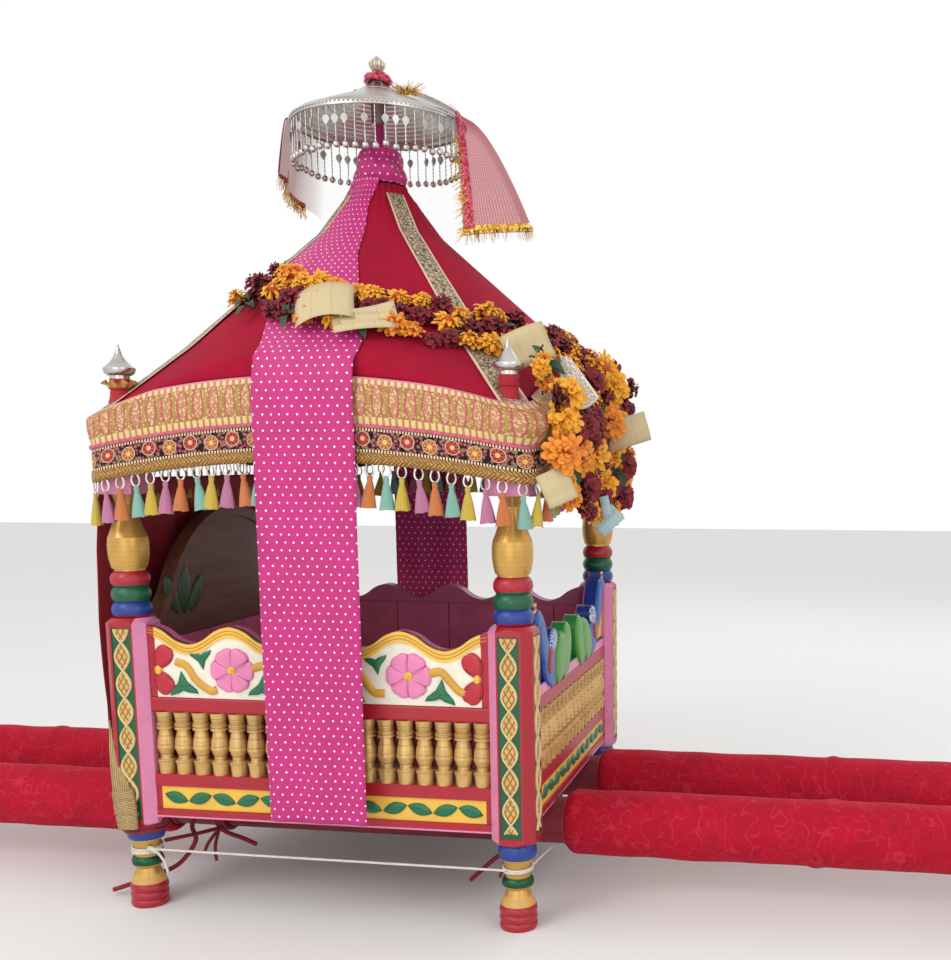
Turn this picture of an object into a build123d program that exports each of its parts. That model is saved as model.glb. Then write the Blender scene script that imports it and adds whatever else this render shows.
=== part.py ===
from build123d import *
from math import hypot, sqrt
import os

# A carried palanquin: a square wooden box on four turned posts, slung on two cloth-bound poles,
# under a tented velvet canopy with a silver parasol at its peak.
# Millimetres. X runs along the front, -Y is the front, Z is up, and the feet stand on Z = 0.

# Driving sizes: the plan and the four posts
POST_SPACING = 560.0
POST_SIDE = 62.0
POST_CHAMFER = 13.0
POST_SHOULDER = 8.0
INLAY_WIDTH = 30.0
INLAY_DEPTH = 1.5
INLAY_END = 12.0

# Heights of the turned and square stretches of a post, from the floor up
FOOT_HEIGHT = 33.0
CONE_HEIGHT = 26.0
BEAD_HEIGHT = 15.0
NECK_HEIGHT = 26.0
COLLAR_HEIGHT = 23.0
SHAFT_HEIGHT = 303.0
RING_HEIGHT = 21.5
FILLET_HEIGHT = 5.0
VASE_HEIGHT = 104.0

# The four walls, from the poles up
WALL_BOTTOM = 138.0
RAIL_THICK = 24.0
BOTTOM_RAIL = 12.0
LEAF_STRIP = 34.0
LEAF_RECESS = 3.0
LOWER_RAIL = 18.0
BALUSTER_HEIGHT = 90.0
TOP_RAIL = 22.0
BALUSTERS_A_SIDE = 18
BALUSTER_RADIUS = 12.9
BALUSTER_PROUD = 1.0
CREST_THICK = 22.0
CREST_TROUGH = 76.0
CREST_WAVE = 26.0
CREST_WAVES = 4
MOULDING_WIDTH = 15.0
MOULDING_PROUD = 2.0
LINING_THICK = 8.0
LINING_HEIGHT = 160.0
LINING_DROP = 6.0
PEAFOWL_BASE = 16.0
PEAFOWL_RELIEF = 2.0
HEADBOARD_WIDTH = 380.0
HEADBOARD_HEIGHT = 258.0
HEADBOARD_FRAME = 16.0
HEADBOARD_RECESS = 3.0
HEADBOARD_SHOULDER = 0.55

# A baluster from its foot up. Rows hold: height out of a hundred, radius at foot and head as shares.
BALUSTER_ROWS = [
    (18, 0.84, 0.92), (5, 1.0, 1.0), (6, 0.72, 0.66), (13, 0.66, 1.0), (13, 1.0, 0.92), (17, 0.92, 0.64),
    (4, 0.92, 0.92), (2, 0.76, 0.76), (4, 0.92, 0.92), (18, 0.78, 0.96),
]

# Floor
JOIST_HEIGHT = 20.0
JOIST_WIDTH = 40.0
JOIST_OFFSET = 160.0
DECK_THICK = 12.0
DECK_BOARDS = 6
DECK_GAP = 2.0

# Carrying poles and their padded sleeves
POLE_LENGTH = 2700.0
POLE_DIAMETER = 70.0
POLE_OFFSET = 124.0
POLE_NOTCH = 3.0
POLE_END_ROUND = 12.0
POLE_END_DIAMETER = 66.0
POLE_END_LENGTH = 82.0
SLEEVE_THICK = 7.0
SLEEVE_START = 322.0
POLE_BARE_END = 90.0

# Canopy timber
CAP_SIDE = 56.0
CAP_HEIGHT = 76.0
CAP_EASE = 16.0
BEAM_WIDTH = 36.0
BEAM_HEIGHT = 28.0
EAVES_BOARD = 8.0
EAVES_CORNER_Z = 622.0
EAVES_ARCH = 34.0
RAFTER_WIDTH = 18.0
RAFTER_DEPTH = 24.0
RAFTER_FOOT = 264.0
RAFTER_DROP = 34.0
RAFTER_BELOW_CROWN = 4.0
CROWN_ACROSS = 34.0
CROWN_HEIGHT = 46.0
CROWN_TOP = 1020.0
HUB_RADIUS = 13.0
HUB_HEIGHT = 48.0

# Canopy cloth
CLOTH = 3.0
ROOF_THICK = 6.0
CORNER_RADIUS = 42.0
VALANCE_CORNER_Z = 612.0
VALANCE_ARCH = 33.0
VALANCE_RISE = 40.0
ROOF_HOLE = 16.0
SOFT_GAP = 0.3

# Braid and tassel fringe
BRAID_THICK = 4.0
BRAID_HEIGHT = 15.0
TASSEL_PITCH = 22.4
TASSEL_LOOP = 22.0
TASSEL_BODY = 36.0
TASSEL_LOOP_WIDTH = 2.4
TASSEL_HEAD = 5.0
TASSEL_SKIRT = 15.0

# Corner finials
FINIAL_AT = 278.0
FINIAL_STEM = 5.0
FINIAL_WRAP_RADIUS = 11.0
FINIAL_WRAP_FOOT = 745.0
FINIAL_WRAP_TOP = 757.0
FINIAL_BULB_RADIUS = 21.0
FINIAL_HEIGHT = 47.0

# Parasol
ROD_RADIUS = 7.0
ROD_IN_CROWN = 20.0
ROD_BELOW_TOP = 12.0
TURN_CLEARANCE = 0.08
SEAT_CLEARANCE = 0.3
DISH_RADIUS = 131.0
DISH_ABOVE_KNOT = 33.0
DISH_RIM_HEIGHT = 5.0
DISH_RISE = 66.0
DISH_SHEET = 1.6
SOCKET_RADIUS = 11.0
PENDANTS = 24
PENDANT_LENGTH = 60.0
PENDANT_THICK = 1.6
WRAP_RADIUS = 20.0
WRAP_HEIGHT = 11.0
BUD_RADIUS = 13.0
BUD_HEIGHT = 27.0
VEIL_THICK = 2.0
VEIL_LIFT = 0.5
VEIL_REACH = 230.0
VEIL_DROP = 150.0
VEIL_RIM_EASE = 4.0
VEIL_SWEEP = 210.0
VEIL_START = -15.0

# The beaten cone, from its shoulder up. Rows hold: share of its radius, share of its rise.
DISH_CURVE = [(0.94, 0.18), (0.75, 0.34), (0.30, 0.71), (0.15, 0.90)]

# How the veil falls from the rim. Rows hold: share of its reach, share of its drop.
VEIL_CURVE = [(0.5, 0.33), (0.83, 0.68), (1.0, 1.0)]

# Scarf, curtain
SCARF_WIDTH = 140.0
SCARF_NECK = 64.0
SCARF_NECK_Y = 36.0
SCARF_SPREAD_Y = 150.0
SCARF_THICK = 3.0
SCARF_FRONT_X = 14.0
SCARF_REAR_X = -54.0
SCARF_FOOT = 150.0
SCARF_STAND_OFF = 0.8
SCARF_GROW = 4.2
SCARF_RAISE = 1.0
KNOT_RADIUS = 40.0
KNOT_LIFT = 1.0
KNOT_HEIGHT = 48.0
CURTAIN_THICK = 2.2
CURTAIN_FOOT = 112.0
CURTAIN_MID_FOOT = 160.0
CURTAIN_TAIL = 110.0
CURTAIN_EDGE = 24.0

# Flower garland
GARLAND_THICK = 26.0
GARLAND_HANG = 36.0

# Derived places
HALF = POST_SPACING / 2
FACE = HALF + POST_SIDE / 2
INNER = HALF - POST_SIDE / 2
LEG_HEIGHT = FOOT_HEIGHT + CONE_HEIGHT + BEAD_HEIGHT + NECK_HEIGHT + COLLAR_HEIGHT
SHAFT_TOP = LEG_HEIGHT + SHAFT_HEIGHT
POST_TOP = SHAFT_TOP + 3 * RING_HEIGHT + FILLET_HEIGHT + VASE_HEIGHT
RAIL_FACE = FACE - POST_CHAMFER
RAIL_BACK = RAIL_FACE - RAIL_THICK
LEAF_TOP = WALL_BOTTOM + BOTTOM_RAIL + LEAF_STRIP
BALUSTER_FOOT = LEAF_TOP + LOWER_RAIL
BALUSTER_TOP = BALUSTER_FOOT + BALUSTER_HEIGHT
RAIL_TOP = BALUSTER_TOP + TOP_RAIL
RAIL_LENGTH = 2 * INNER
LINING_TOP = RAIL_TOP + CREST_TROUGH - LINING_DROP
POLE_RADIUS = POLE_DIAMETER / 2
POLE_Z = WALL_BOTTOM + POLE_NOTCH - POLE_RADIUS
CAP_TOP = POST_TOP + CAP_HEIGHT
CAP_FACE = HALF + CAP_SIDE / 2
CAP_BACK = HALF - CAP_SIDE / 2
BEAM_FOOT = CAP_TOP - BEAM_HEIGHT
EAVE = CAP_FACE + EAVES_BOARD
VALANCE_IN = EAVE + SOFT_GAP
VALANCE_OUT = VALANCE_IN + CLOTH
FRINGE_Y = VALANCE_OUT + BRAID_THICK / 2
SCARF_IN = FRINGE_Y + TASSEL_SKIRT / 2 + SCARF_STAND_OFF
SCARF_OUT = SCARF_IN + SCARF_THICK
HUB_TOP = CROWN_TOP + HUB_HEIGHT
ROD_FOOT = CROWN_TOP - ROD_IN_CROWN
KNOT_FOOT = HUB_TOP + KNOT_LIFT
DISH_RIM_Z = KNOT_FOOT + KNOT_HEIGHT + DISH_ABOVE_KNOT
DISH_TOP_Z = DISH_RIM_Z + DISH_RISE
ROD_TOP = DISH_TOP_Z - ROD_BELOW_TOP


def box(x0, x1, y0, y1, z0, z1):
    """A block between two corners."""
    size = Box(x1 - x0, y1 - y0, z1 - z0)
    return Pos((x0 + x1) / 2, (y0 + y1) / 2, (z0 + z1) / 2) * size


def turned(rows, base=0.0):
    """Revolve a lathe profile. Rows hold: height, radius at the foot, radius at the head, swell."""
    z = base
    edges = []
    at = (0.0, base)
    for height, foot, head, swell in rows:
        if hypot(at[0] - foot, at[1] - z) > 1e-6:
            edges.append(Line((at[0], at[1]), (foot, z)))
        if swell:
            middle = ((foot + head) / 2 + swell, z + height / 2)
            edges.append(ThreePointArc((foot, z), middle, (head, z + height)))
        else:
            edges.append(Line((foot, z), (head, z + height)))
        z += height
        at = (head, z)
    edges.append(Line(at, (0.0, z)))
    edges.append(Line((0.0, z), (0.0, base)))
    profile = Plane.XZ * make_face(Wire(Curve() + edges).edges())
    return revolve(profile, Axis.Z)


def around(shape, quarter_turns):
    """The same shape on another side of the box."""
    return Rot(0, 0, 90 * quarter_turns) * shape


def arch_cutter(corner_z, rise, reach):
    """Everything under an arched line that runs along the front face."""
    span = EAVE
    end = EAVE + CORNER_RADIUS
    edges = [ThreePointArc((-span, corner_z), (0, corner_z + rise), (span, corner_z))]
    edges += [Line((span, corner_z), (end, corner_z)), Line((end, corner_z), (end, 0))]
    edges += [Line((end, 0), (-end, 0)), Line((-end, 0), (-end, corner_z))]
    edges += [Line((-end, corner_z), (-span, corner_z))]
    face = make_face(Wire(edges))
    return Pos(0, -reach[0], 0) * (Rot(90, 0, 0) * extrude(face, reach[1] - reach[0]))


# Posts

def post_blank():
    """One timber: ribbed foot, cone, bead, neck, collar, square shaft, three rings and a vase."""
    rib = FOOT_HEIGHT / 3
    leg = turned([
        (rib, 24.5, 24.5, 2.0),
        (rib, 24.5, 24.5, 2.0),
        (rib, 24.5, 24.5, 2.0),
        (CONE_HEIGHT, 25.5, 14.5, 0),
        (BEAD_HEIGHT, 19.0, 19.0, 3.5),
        (NECK_HEIGHT, 17.5, 19.5, 0),
        (COLLAR_HEIGHT, 23.5, 23.5, 3.5),
    ])
    shaft = Pos(0, 0, LEG_HEIGHT) * Box(
        POST_SIDE, POST_SIDE, SHAFT_HEIGHT, align=(Align.CENTER, Align.CENTER, Align.MIN))
    shaft = chamfer(shaft.edges().filter_by(Axis.Z), POST_CHAMFER)
    corner = hypot(POST_SIDE / 2, POST_SIDE / 2 - POST_CHAMFER) + 1
    shaft &= turned([
        (POST_SHOULDER, POST_SIDE / 2 - 3, corner, 0),
        (SHAFT_HEIGHT - 2 * POST_SHOULDER, corner, corner, 0),
        (POST_SHOULDER, corner, POST_SIDE / 2 - 3, 0),
    ], LEG_HEIGHT)
    upper = turned([
        (RING_HEIGHT, 23.0, 23.0, 4.5),
        (RING_HEIGHT, 22.5, 22.5, 4.5),
        (RING_HEIGHT, 22.5, 22.5, 4.5),
        (FILLET_HEIGHT, 21.0, 21.0, 0),
        (VASE_HEIGHT * 0.42, 23.5, 26.5, 2.5),
        (VASE_HEIGHT * 0.44, 26.5, 13.0, -1.5),
        (VASE_HEIGHT * 0.14, 13.0, 18.0, 0),
    ], SHAFT_TOP)
    return leg + shaft + upper


def inlay_recess():
    """The sunk panel on a post's outer face, for its lattice."""
    foot = LEG_HEIGHT + INLAY_END
    head = SHAFT_TOP - INLAY_END
    return box(-INLAY_WIDTH / 2, INLAY_WIDTH / 2, -POST_SIDE / 2 - 1, -POST_SIDE / 2 + INLAY_DEPTH, foot, head)


def post(side_x, side_y):
    """A post with its two sunk panels turned to the outside."""
    blank = post_blank()
    front = inlay_recess() if side_y < 0 else Rot(0, 0, 180) * inlay_recess()
    side = Rot(0, 0, 90) * inlay_recess() if side_x > 0 else Rot(0, 0, -90) * inlay_recess()
    return Pos(side_x * HALF, side_y * HALF, 0) * (blank - front - side)


# Walls

def lower_rail_profile():
    """Bottom rail, sunk leaf strip and lower rail, as one section, facing -Y."""
    strip = -RAIL_FACE + LEAF_RECESS
    strip_foot = WALL_BOTTOM + BOTTOM_RAIL
    points = [
        (-RAIL_BACK, WALL_BOTTOM), (-RAIL_FACE, WALL_BOTTOM), (-RAIL_FACE, strip_foot),
        (strip, strip_foot), (strip, LEAF_TOP), (-RAIL_FACE, LEAF_TOP),
        (-RAIL_FACE, BALUSTER_FOOT), (-RAIL_BACK, BALUSTER_FOOT), (-RAIL_BACK, WALL_BOTTOM),
    ]
    return make_face(Polyline(*points))


def pole_space(extra):
    """The two round ways that the poles lie in, along X."""
    rod = Rot(0, 90, 0) * Cylinder(POLE_RADIUS + extra, POLE_LENGTH)
    return [Pos(0, side * POLE_OFFSET, POLE_Z) * rod for side in (-1, 1)]


def wall_rails(over_poles):
    """The lower rail group and the top rail of one wall."""
    section = Plane.YZ * lower_rail_profile()
    lower = Pos(-INNER, 0, 0) * extrude(section, RAIL_LENGTH)
    if over_poles:
        for way in pole_space(SOFT_GAP):
            lower -= around(way, 1)
    top = box(-INNER, INNER, -RAIL_FACE, -RAIL_BACK, BALUSTER_TOP, RAIL_TOP)
    front_edges = top.edges().filter_by(Axis.X).group_by(Axis.Y)[0]
    top = fillet(front_edges, 4)
    return Compound([lower, top])


def baluster():
    """One turned spindle: drum, disc, waist, pear-shaped belly, neck, two discs and cup."""
    step = BALUSTER_HEIGHT / 100
    rows = [(height * step, low * BALUSTER_RADIUS, high * BALUSTER_RADIUS, 0) for height, low, high in BALUSTER_ROWS]
    return turned(rows, BALUSTER_FOOT)


def wall_balusters():
    """The row of spindles between the lower and top rails of one wall."""
    pitch = RAIL_LENGTH / BALUSTERS_A_SIDE
    spindle = baluster()
    y = -(RAIL_FACE + RAIL_BACK) / 2 - BALUSTER_PROUD
    row = [Pos(-INNER + pitch * (i + 0.5), y, 0) * spindle for i in range(BALUSTERS_A_SIDE)]
    return Compound(row)


def wall_lining():
    """The plain board behind the spindles."""
    foot = LINING_TOP - LINING_HEIGHT
    return box(-INNER, INNER, -RAIL_BACK, -RAIL_BACK + LINING_THICK, foot, LINING_TOP)


def wave_line(offset):
    """The wavy top line as arcs, peaks at both ends; rows go from left to right."""
    half_wave = RAIL_LENGTH / CREST_WAVES / 2
    amplitude = CREST_WAVE / 2
    middle = RAIL_TOP + CREST_TROUGH + amplitude + offset
    edges = []
    for i in range(2 * CREST_WAVES):
        x0 = -INNER + half_wave * i
        down = 1 if i % 2 == 0 else -1
        start = (x0, middle + down * amplitude)
        half = (x0 + half_wave / 2, middle)
        end = (x0 + half_wave, middle - down * amplitude)
        first = ThreePointArc(start, (x0 + half_wave / 4, middle + down * amplitude * 0.72), half)
        second = ThreePointArc(half, (x0 + half_wave * 3 / 4, middle - down * amplitude * 0.72), end)
        edges += [first, second]
    return edges, middle + amplitude


def wave_board(offset, foot, back, front):
    """A board under the wavy line, between two planes."""
    edges, end_z = wave_line(offset)
    edges += [Line((INNER, end_z), (INNER, foot)), Line((INNER, foot), (-INNER, foot))]
    edges += [Line((-INNER, foot), (-INNER, end_z))]
    face = make_face(Wire(edges))
    return Pos(0, -back, 0) * (Rot(90, 0, 0) * extrude(face, front - back))


def wave_crest():
    """Front and rear crest: a board with a wavy top and a raised moulding along it."""
    board = wave_board(0, RAIL_TOP, RAIL_BACK, RAIL_BACK + CREST_THICK)
    proud = RAIL_BACK + CREST_THICK
    moulding = wave_board(0, RAIL_TOP, proud, proud + MOULDING_PROUD)
    moulding -= wave_board(-MOULDING_WIDTH, RAIL_TOP - 1, proud - 1, proud + MOULDING_PROUD + 1)
    return board + moulding


# One bird of the pair, as ovals. Rows hold: distance from the middle, height above the rail top,
# half length, half height, tilt in degrees. The bird faces the post, its tail meets its mate's.
BIRD_OVALS = [
    (152.0, 38.0, 48.0, 34.0, -38.0),
    (196.0, 80.0, 50.0, 22.0, -62.0),
    (222.0, 112.0, 18.0, 14.0, 0.0),
    (92.0, 36.0, 44.0, 30.0, 48.0),
    (52.0, 40.0, 46.0, 30.0, 66.0),
]
BIRD_WINGS = [
    (140.0, 70.0, 22.0, 17.0, 20.0),
    (158.0, 44.0, 22.0, 16.0, 70.0),
]
BIRD_TUFT = (232.0, 126.0, 14.0, 18.0)


def oval(row, side):
    """One oval of a bird, on the left or right half of the crest."""
    from_middle, height, half_length, half_height, tilt = row
    return Pos(side * from_middle, RAIL_TOP + height) * Rot(0, 0, -side * tilt) * Ellipse(half_length, half_height)


def end_crest():
    """Right end: a cut-out pair of peafowl, back to back on a low base, with raised wings."""
    outline = Pos(0, RAIL_TOP + PEAFOWL_BASE / 2) * Rectangle(RAIL_LENGTH, PEAFOWL_BASE)
    wings = []
    for side in (-1, 1):
        for row in BIRD_OVALS:
            outline += oval(row, side)
        from_middle, height, width, tall = BIRD_TUFT
        outline += Pos(side * from_middle, RAIL_TOP + height) * Rectangle(width, tall)
        wings += [oval(row, side) for row in BIRD_WINGS]
    outline &= Pos(0, RAIL_TOP + RAIL_LENGTH / 2) * Rectangle(RAIL_LENGTH, RAIL_LENGTH)
    board = extrude(outline.faces()[0], CREST_THICK)
    for wing in wings:
        board += extrude(wing, CREST_THICK + PEAFOWL_RELIEF)
    return Pos(0, -RAIL_BACK, 0) * (Rot(90, 0, 0) * board)


def headboard_face(inset):
    """The outline of the headboard, drawn in by an inset all round."""
    low = RAIL_TOP + CREST_TROUGH - inset
    foot = RAIL_TOP + inset
    shoulder = RAIL_TOP + HEADBOARD_HEIGHT * HEADBOARD_SHOULDER
    tip = RAIL_TOP + HEADBOARD_HEIGHT - inset
    half = HEADBOARD_WIDTH / 2 - inset
    edges = [Line((-INNER + inset, foot), (-INNER + inset, low)), Line((-INNER + inset, low), (-half, shoulder))]
    edges += [ThreePointArc((-half, shoulder), (0, tip), (half, shoulder))]
    edges += [Line((half, shoulder), (INNER - inset, low)), Line((INNER - inset, low), (INNER - inset, foot))]
    edges += [Line((INNER - inset, foot), (-INNER + inset, foot))]
    return make_face(Wire(edges))


def headboard():
    """Left end: a low board with a tall arched middle, framed on its inner side."""
    board = extrude(headboard_face(0), CREST_THICK)
    board -= extrude(headboard_face(HEADBOARD_FRAME), HEADBOARD_RECESS)
    return Pos(0, -RAIL_BACK, 0) * (Rot(90, 0, 0) * board)


# Floor

def floor_joists():
    """Two joists that lie on the poles, between the front and rear rails."""
    joists = []
    for side in (-1, 1):
        x = side * JOIST_OFFSET
        joist = box(x - JOIST_WIDTH / 2, x + JOIST_WIDTH / 2, -RAIL_BACK, RAIL_BACK,
                    WALL_BOTTOM, WALL_BOTTOM + JOIST_HEIGHT)
        for way in pole_space(SOFT_GAP):
            joist -= way
        joists.append(joist)
    return Compound(joists)


def floor_boards():
    """The deck: loose boards side by side on the joists."""
    foot = WALL_BOTTOM + JOIST_HEIGHT
    width = (RAIL_LENGTH - DECK_GAP * (DECK_BOARDS + 1)) / DECK_BOARDS
    boards = []
    for i in range(DECK_BOARDS):
        y = -INNER + DECK_GAP + i * (width + DECK_GAP)
        boards.append(box(-RAIL_BACK + DECK_GAP, RAIL_BACK - DECK_GAP, y, y + width, foot, foot + DECK_THICK))
    return Compound(boards)


# Poles

def pole(side):
    """A round timber, turned thinner at its two eased ends for the bearers' yokes."""
    ends = Cylinder(POLE_END_DIAMETER / 2, POLE_LENGTH)
    ends = fillet(ends.edges().filter_by(GeomType.CIRCLE), POLE_END_ROUND)
    rod = ends + Cylinder(POLE_RADIUS, POLE_LENGTH - 2 * POLE_END_LENGTH)
    return Pos(0, side * POLE_OFFSET, POLE_Z) * (Rot(0, 90, 0) * rod)


def sleeve(side_x, side_y):
    """The padded cloth binding on one arm of a pole."""
    length = POLE_LENGTH / 2 - POLE_BARE_END - SLEEVE_START
    tube = Cylinder(POLE_RADIUS + SOFT_GAP + SLEEVE_THICK, length) - Cylinder(POLE_RADIUS + SOFT_GAP, length)
    x = side_x * (SLEEVE_START + length / 2)
    return Pos(x, side_y * POLE_OFFSET, POLE_Z) * (Rot(0, 90, 0) * tube)


# Canopy timber

def beam_with_caps():
    """Front or rear beam with the cap block of each post."""
    beam = box(-CAP_BACK, CAP_BACK, -CAP_FACE, -CAP_FACE + BEAM_WIDTH, BEAM_FOOT, CAP_TOP)
    for side in (-1, 1):
        x = side * HALF
        cap = box(x - CAP_SIDE / 2, x + CAP_SIDE / 2, -CAP_FACE, -CAP_BACK, POST_TOP, CAP_TOP)
        corner = cap.edges().filter_by(Axis.Z).sort_by(lambda edge: hypot(edge.center().X, edge.center().Y))[-1]
        beam += fillet(corner, CAP_EASE)
    return beam


def plain_beam():
    """Left or right beam, between the cap blocks."""
    return box(-CAP_BACK, CAP_BACK, -CAP_FACE, -CAP_FACE + BEAM_WIDTH, BEAM_FOOT, CAP_TOP)


# The roof surface. Rows hold: height, half width at the corners, half width at mid side.
# Near the peak its plan is a circle, so the middle is the corner times the root of two.
ROOF_SECTIONS = [
    (560.0, 437.0, 593.0),
    (690.0, 316.0, 425.0),
    (734.0, 275.0, 374.0),
    (803.0, 211.0, 297.0),
    (855.0, 170.0, 240.0),
    (937.0, 104.0, 147.0),
    (985.0, 66.0, 93.0),
    (1058.0, 27.0, 38.0),
]


def roof_form(grow=0.0, drop=0.0):
    """The solid inside the canopy's surface, bulged at the eaves and square at the peak."""
    wires = []
    for z, corner, middle in ROOF_SECTIONS:
        c = corner + grow
        m = middle + grow
        quarter = ThreePointArc((-c, -c), (0, -m), (c, -c))
        edges = [(Pos(0, 0, z - drop) * Rot(0, 0, 90 * i) * quarter).edge() for i in range(4)]
        wires.append(Wire(edges))
    return Solid.make_loft(wires, True)


def rounded_prism(half, radius, foot, head):
    """A square prism with rounded upright corners."""
    face = RectangleRounded(2 * half, 2 * half, radius)
    return Pos(0, 0, foot) * extrude(face, head - foot)


def eaves_board(form):
    """An arched board on the outside of a beam; the cloth lies on its top edge."""
    reach = VALANCE_IN - CORNER_RADIUS
    board = box(-reach, reach, -EAVE, -CAP_FACE, EAVES_CORNER_Z, FINIAL_WRAP_TOP)
    board &= form
    return board - arch_cutter(EAVES_CORNER_Z, EAVES_ARCH, (CAP_BACK, EAVE + EAVES_BOARD))


def rafters():
    """Four rafters from the cap blocks to the crown block, in the upright planes of the hips."""
    foot = RAFTER_FOOT * sqrt(2)
    head = CROWN_ACROSS
    start_z = ROOF_SECTIONS[2][0] - RAFTER_DROP
    head_z = CROWN_TOP - RAFTER_BELOW_CROWN
    slope = (head_z - start_z) / (foot - head)
    drop = RAFTER_DEPTH * hypot(1, slope)
    inner = foot - (drop - (start_z - CAP_TOP)) / slope
    outline = Polyline(
        (foot, CAP_TOP), (foot, start_z), (head, head_z), (head, head_z - drop), (inner, CAP_TOP), (foot, CAP_TOP))
    rafter = Rot(90, 0, 0) * extrude(make_face(outline), RAFTER_WIDTH / 2, both=True)
    return Compound([Rot(0, 0, 45 + 90 * i) * rafter for i in range(4)])


def crown_block():
    """The eight-sided block at the peak that the rafters meet, with the parasol rod's socket."""
    block = extrude(RegularPolygon(CROWN_ACROSS, 8, major_radius=False, rotation=22.5), CROWN_HEIGHT)
    block = Pos(0, 0, CROWN_TOP - CROWN_HEIGHT) * block
    hub = Pos(0, 0, CROWN_TOP) * Cylinder(
        HUB_RADIUS, HUB_TOP - CROWN_TOP, align=(Align.CENTER, Align.CENTER, Align.MIN))
    bore = Pos(0, 0, ROD_FOOT) * Cylinder(
        ROD_RADIUS + TURN_CLEARANCE, ROD_TOP - ROD_FOOT, align=(Align.CENTER, Align.CENTER, Align.MIN))
    return block + hub - bore


# Canopy cloth

def roof_cloth(outer):
    """The velvet: a hollow tent between two like surfaces, trimmed at the eaves."""
    inner = roof_form(0, ROOF_THICK * 1.5)
    shell = outer - inner
    shell &= rounded_prism(EAVE, CORNER_RADIUS, EAVES_CORNER_Z, HUB_TOP)
    shell -= Pos(0, 0, HUB_TOP) * Cylinder(ROOF_HOLE, 2 * CROWN_HEIGHT)
    for x in (-1, 1):
        for y in (-1, 1):
            stem = Cylinder(FINIAL_STEM + SOFT_GAP, 2 * CAP_HEIGHT)
            shell -= Pos(x * FINIAL_AT, y * FINIAL_AT, CAP_TOP) * stem
    return shell


def tassel():
    """Loop and skirt of one tassel, hanging from Z = 0."""
    half = TASSEL_LOOP_WIDTH / 2
    loop = box(-half, half, -half, half, -TASSEL_LOOP - 1, 1)
    head = Pos(0, 0, -TASSEL_LOOP) * Rectangle(TASSEL_HEAD, TASSEL_HEAD)
    hem = Pos(0, 0, -TASSEL_LOOP - TASSEL_BODY) * Rectangle(TASSEL_SKIRT, TASSEL_SKIRT)
    return loop + loft([head, hem])


def fringe_row(count):
    """Tassels along the arched lower edge of one band."""
    radius = (EAVE * EAVE + VALANCE_ARCH * VALANCE_ARCH) / (2 * VALANCE_ARCH)
    hung = tassel()
    row = []
    for i in range(-count, count + 1):
        x = i * TASSEL_PITCH
        z = VALANCE_CORNER_Z + VALANCE_ARCH - radius + sqrt(radius * radius - x * x)
        row.append(Pos(x, -FRINGE_Y, z) * hung)
    return row


def valance(outer, with_corners):
    """One side's hanging band, arched below, with its braid and fringe."""
    flat = EAVE - CORNER_RADIUS
    reach = VALANCE_OUT + 2 * BRAID_THICK if with_corners else flat
    top = FINIAL_WRAP_TOP + VALANCE_RISE
    zone = box(-reach, reach, -VALANCE_OUT - 2 * BRAID_THICK, -flat, VALANCE_CORNER_Z, top)
    depth = (flat - CORNER_RADIUS, VALANCE_OUT + 3 * BRAID_THICK)
    below = arch_cutter(VALANCE_CORNER_Z, VALANCE_ARCH, depth)
    braid_top = arch_cutter(VALANCE_CORNER_Z + BRAID_HEIGHT, VALANCE_ARCH, depth)
    radius = CORNER_RADIUS + VALANCE_OUT - EAVE
    foot, head = SHAFT_TOP, CROWN_TOP
    hollow = rounded_prism(VALANCE_IN, CORNER_RADIUS + SOFT_GAP, foot, head)
    band = (rounded_prism(VALANCE_OUT, radius, foot, head) - hollow) & zone & outer
    braid = rounded_prism(VALANCE_OUT + BRAID_THICK, radius + BRAID_THICK, foot, head) - hollow
    braid = braid & zone & braid_top
    cloth = (band + braid) - below
    return cloth.fuse(*fringe_row(int(flat / TASSEL_PITCH)))


# Finials

def corner_finials():
    """Silver drops on bound necks, each on a stem that stands on a cap block."""
    neck = FINIAL_WRAP_TOP - FINIAL_WRAP_FOOT
    shape = turned([
        (FINIAL_WRAP_FOOT - CAP_TOP, FINIAL_STEM, FINIAL_STEM, 0),
        (neck, FINIAL_WRAP_RADIUS, FINIAL_WRAP_RADIUS, 0),
        (FINIAL_HEIGHT * 0.1, FINIAL_BULB_RADIUS * 0.62, FINIAL_BULB_RADIUS * 0.62, 0),
        (FINIAL_HEIGHT * 0.22, FINIAL_BULB_RADIUS * 0.7, FINIAL_BULB_RADIUS, 2.5),
        (FINIAL_HEIGHT * 0.42, FINIAL_BULB_RADIUS, FINIAL_BULB_RADIUS * 0.22, -2.5),
        (FINIAL_HEIGHT * 0.26, FINIAL_BULB_RADIUS * 0.22, FINIAL_BULB_RADIUS * 0.05, 0),
    ], CAP_TOP)
    places = [(x * FINIAL_AT, y * FINIAL_AT) for x in (-1, 1) for y in (-1, 1)]
    return Compound([Pos(x, y, 0) * shape for x, y in places])


# Parasol

def umbrella_rod():
    """The fixed rod that the parasol turns on."""
    return Pos(0, 0, ROD_FOOT) * Cylinder(
        ROD_RADIUS, ROD_TOP - ROD_FOOT, align=(Align.CENTER, Align.CENTER, Align.MIN))


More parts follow.
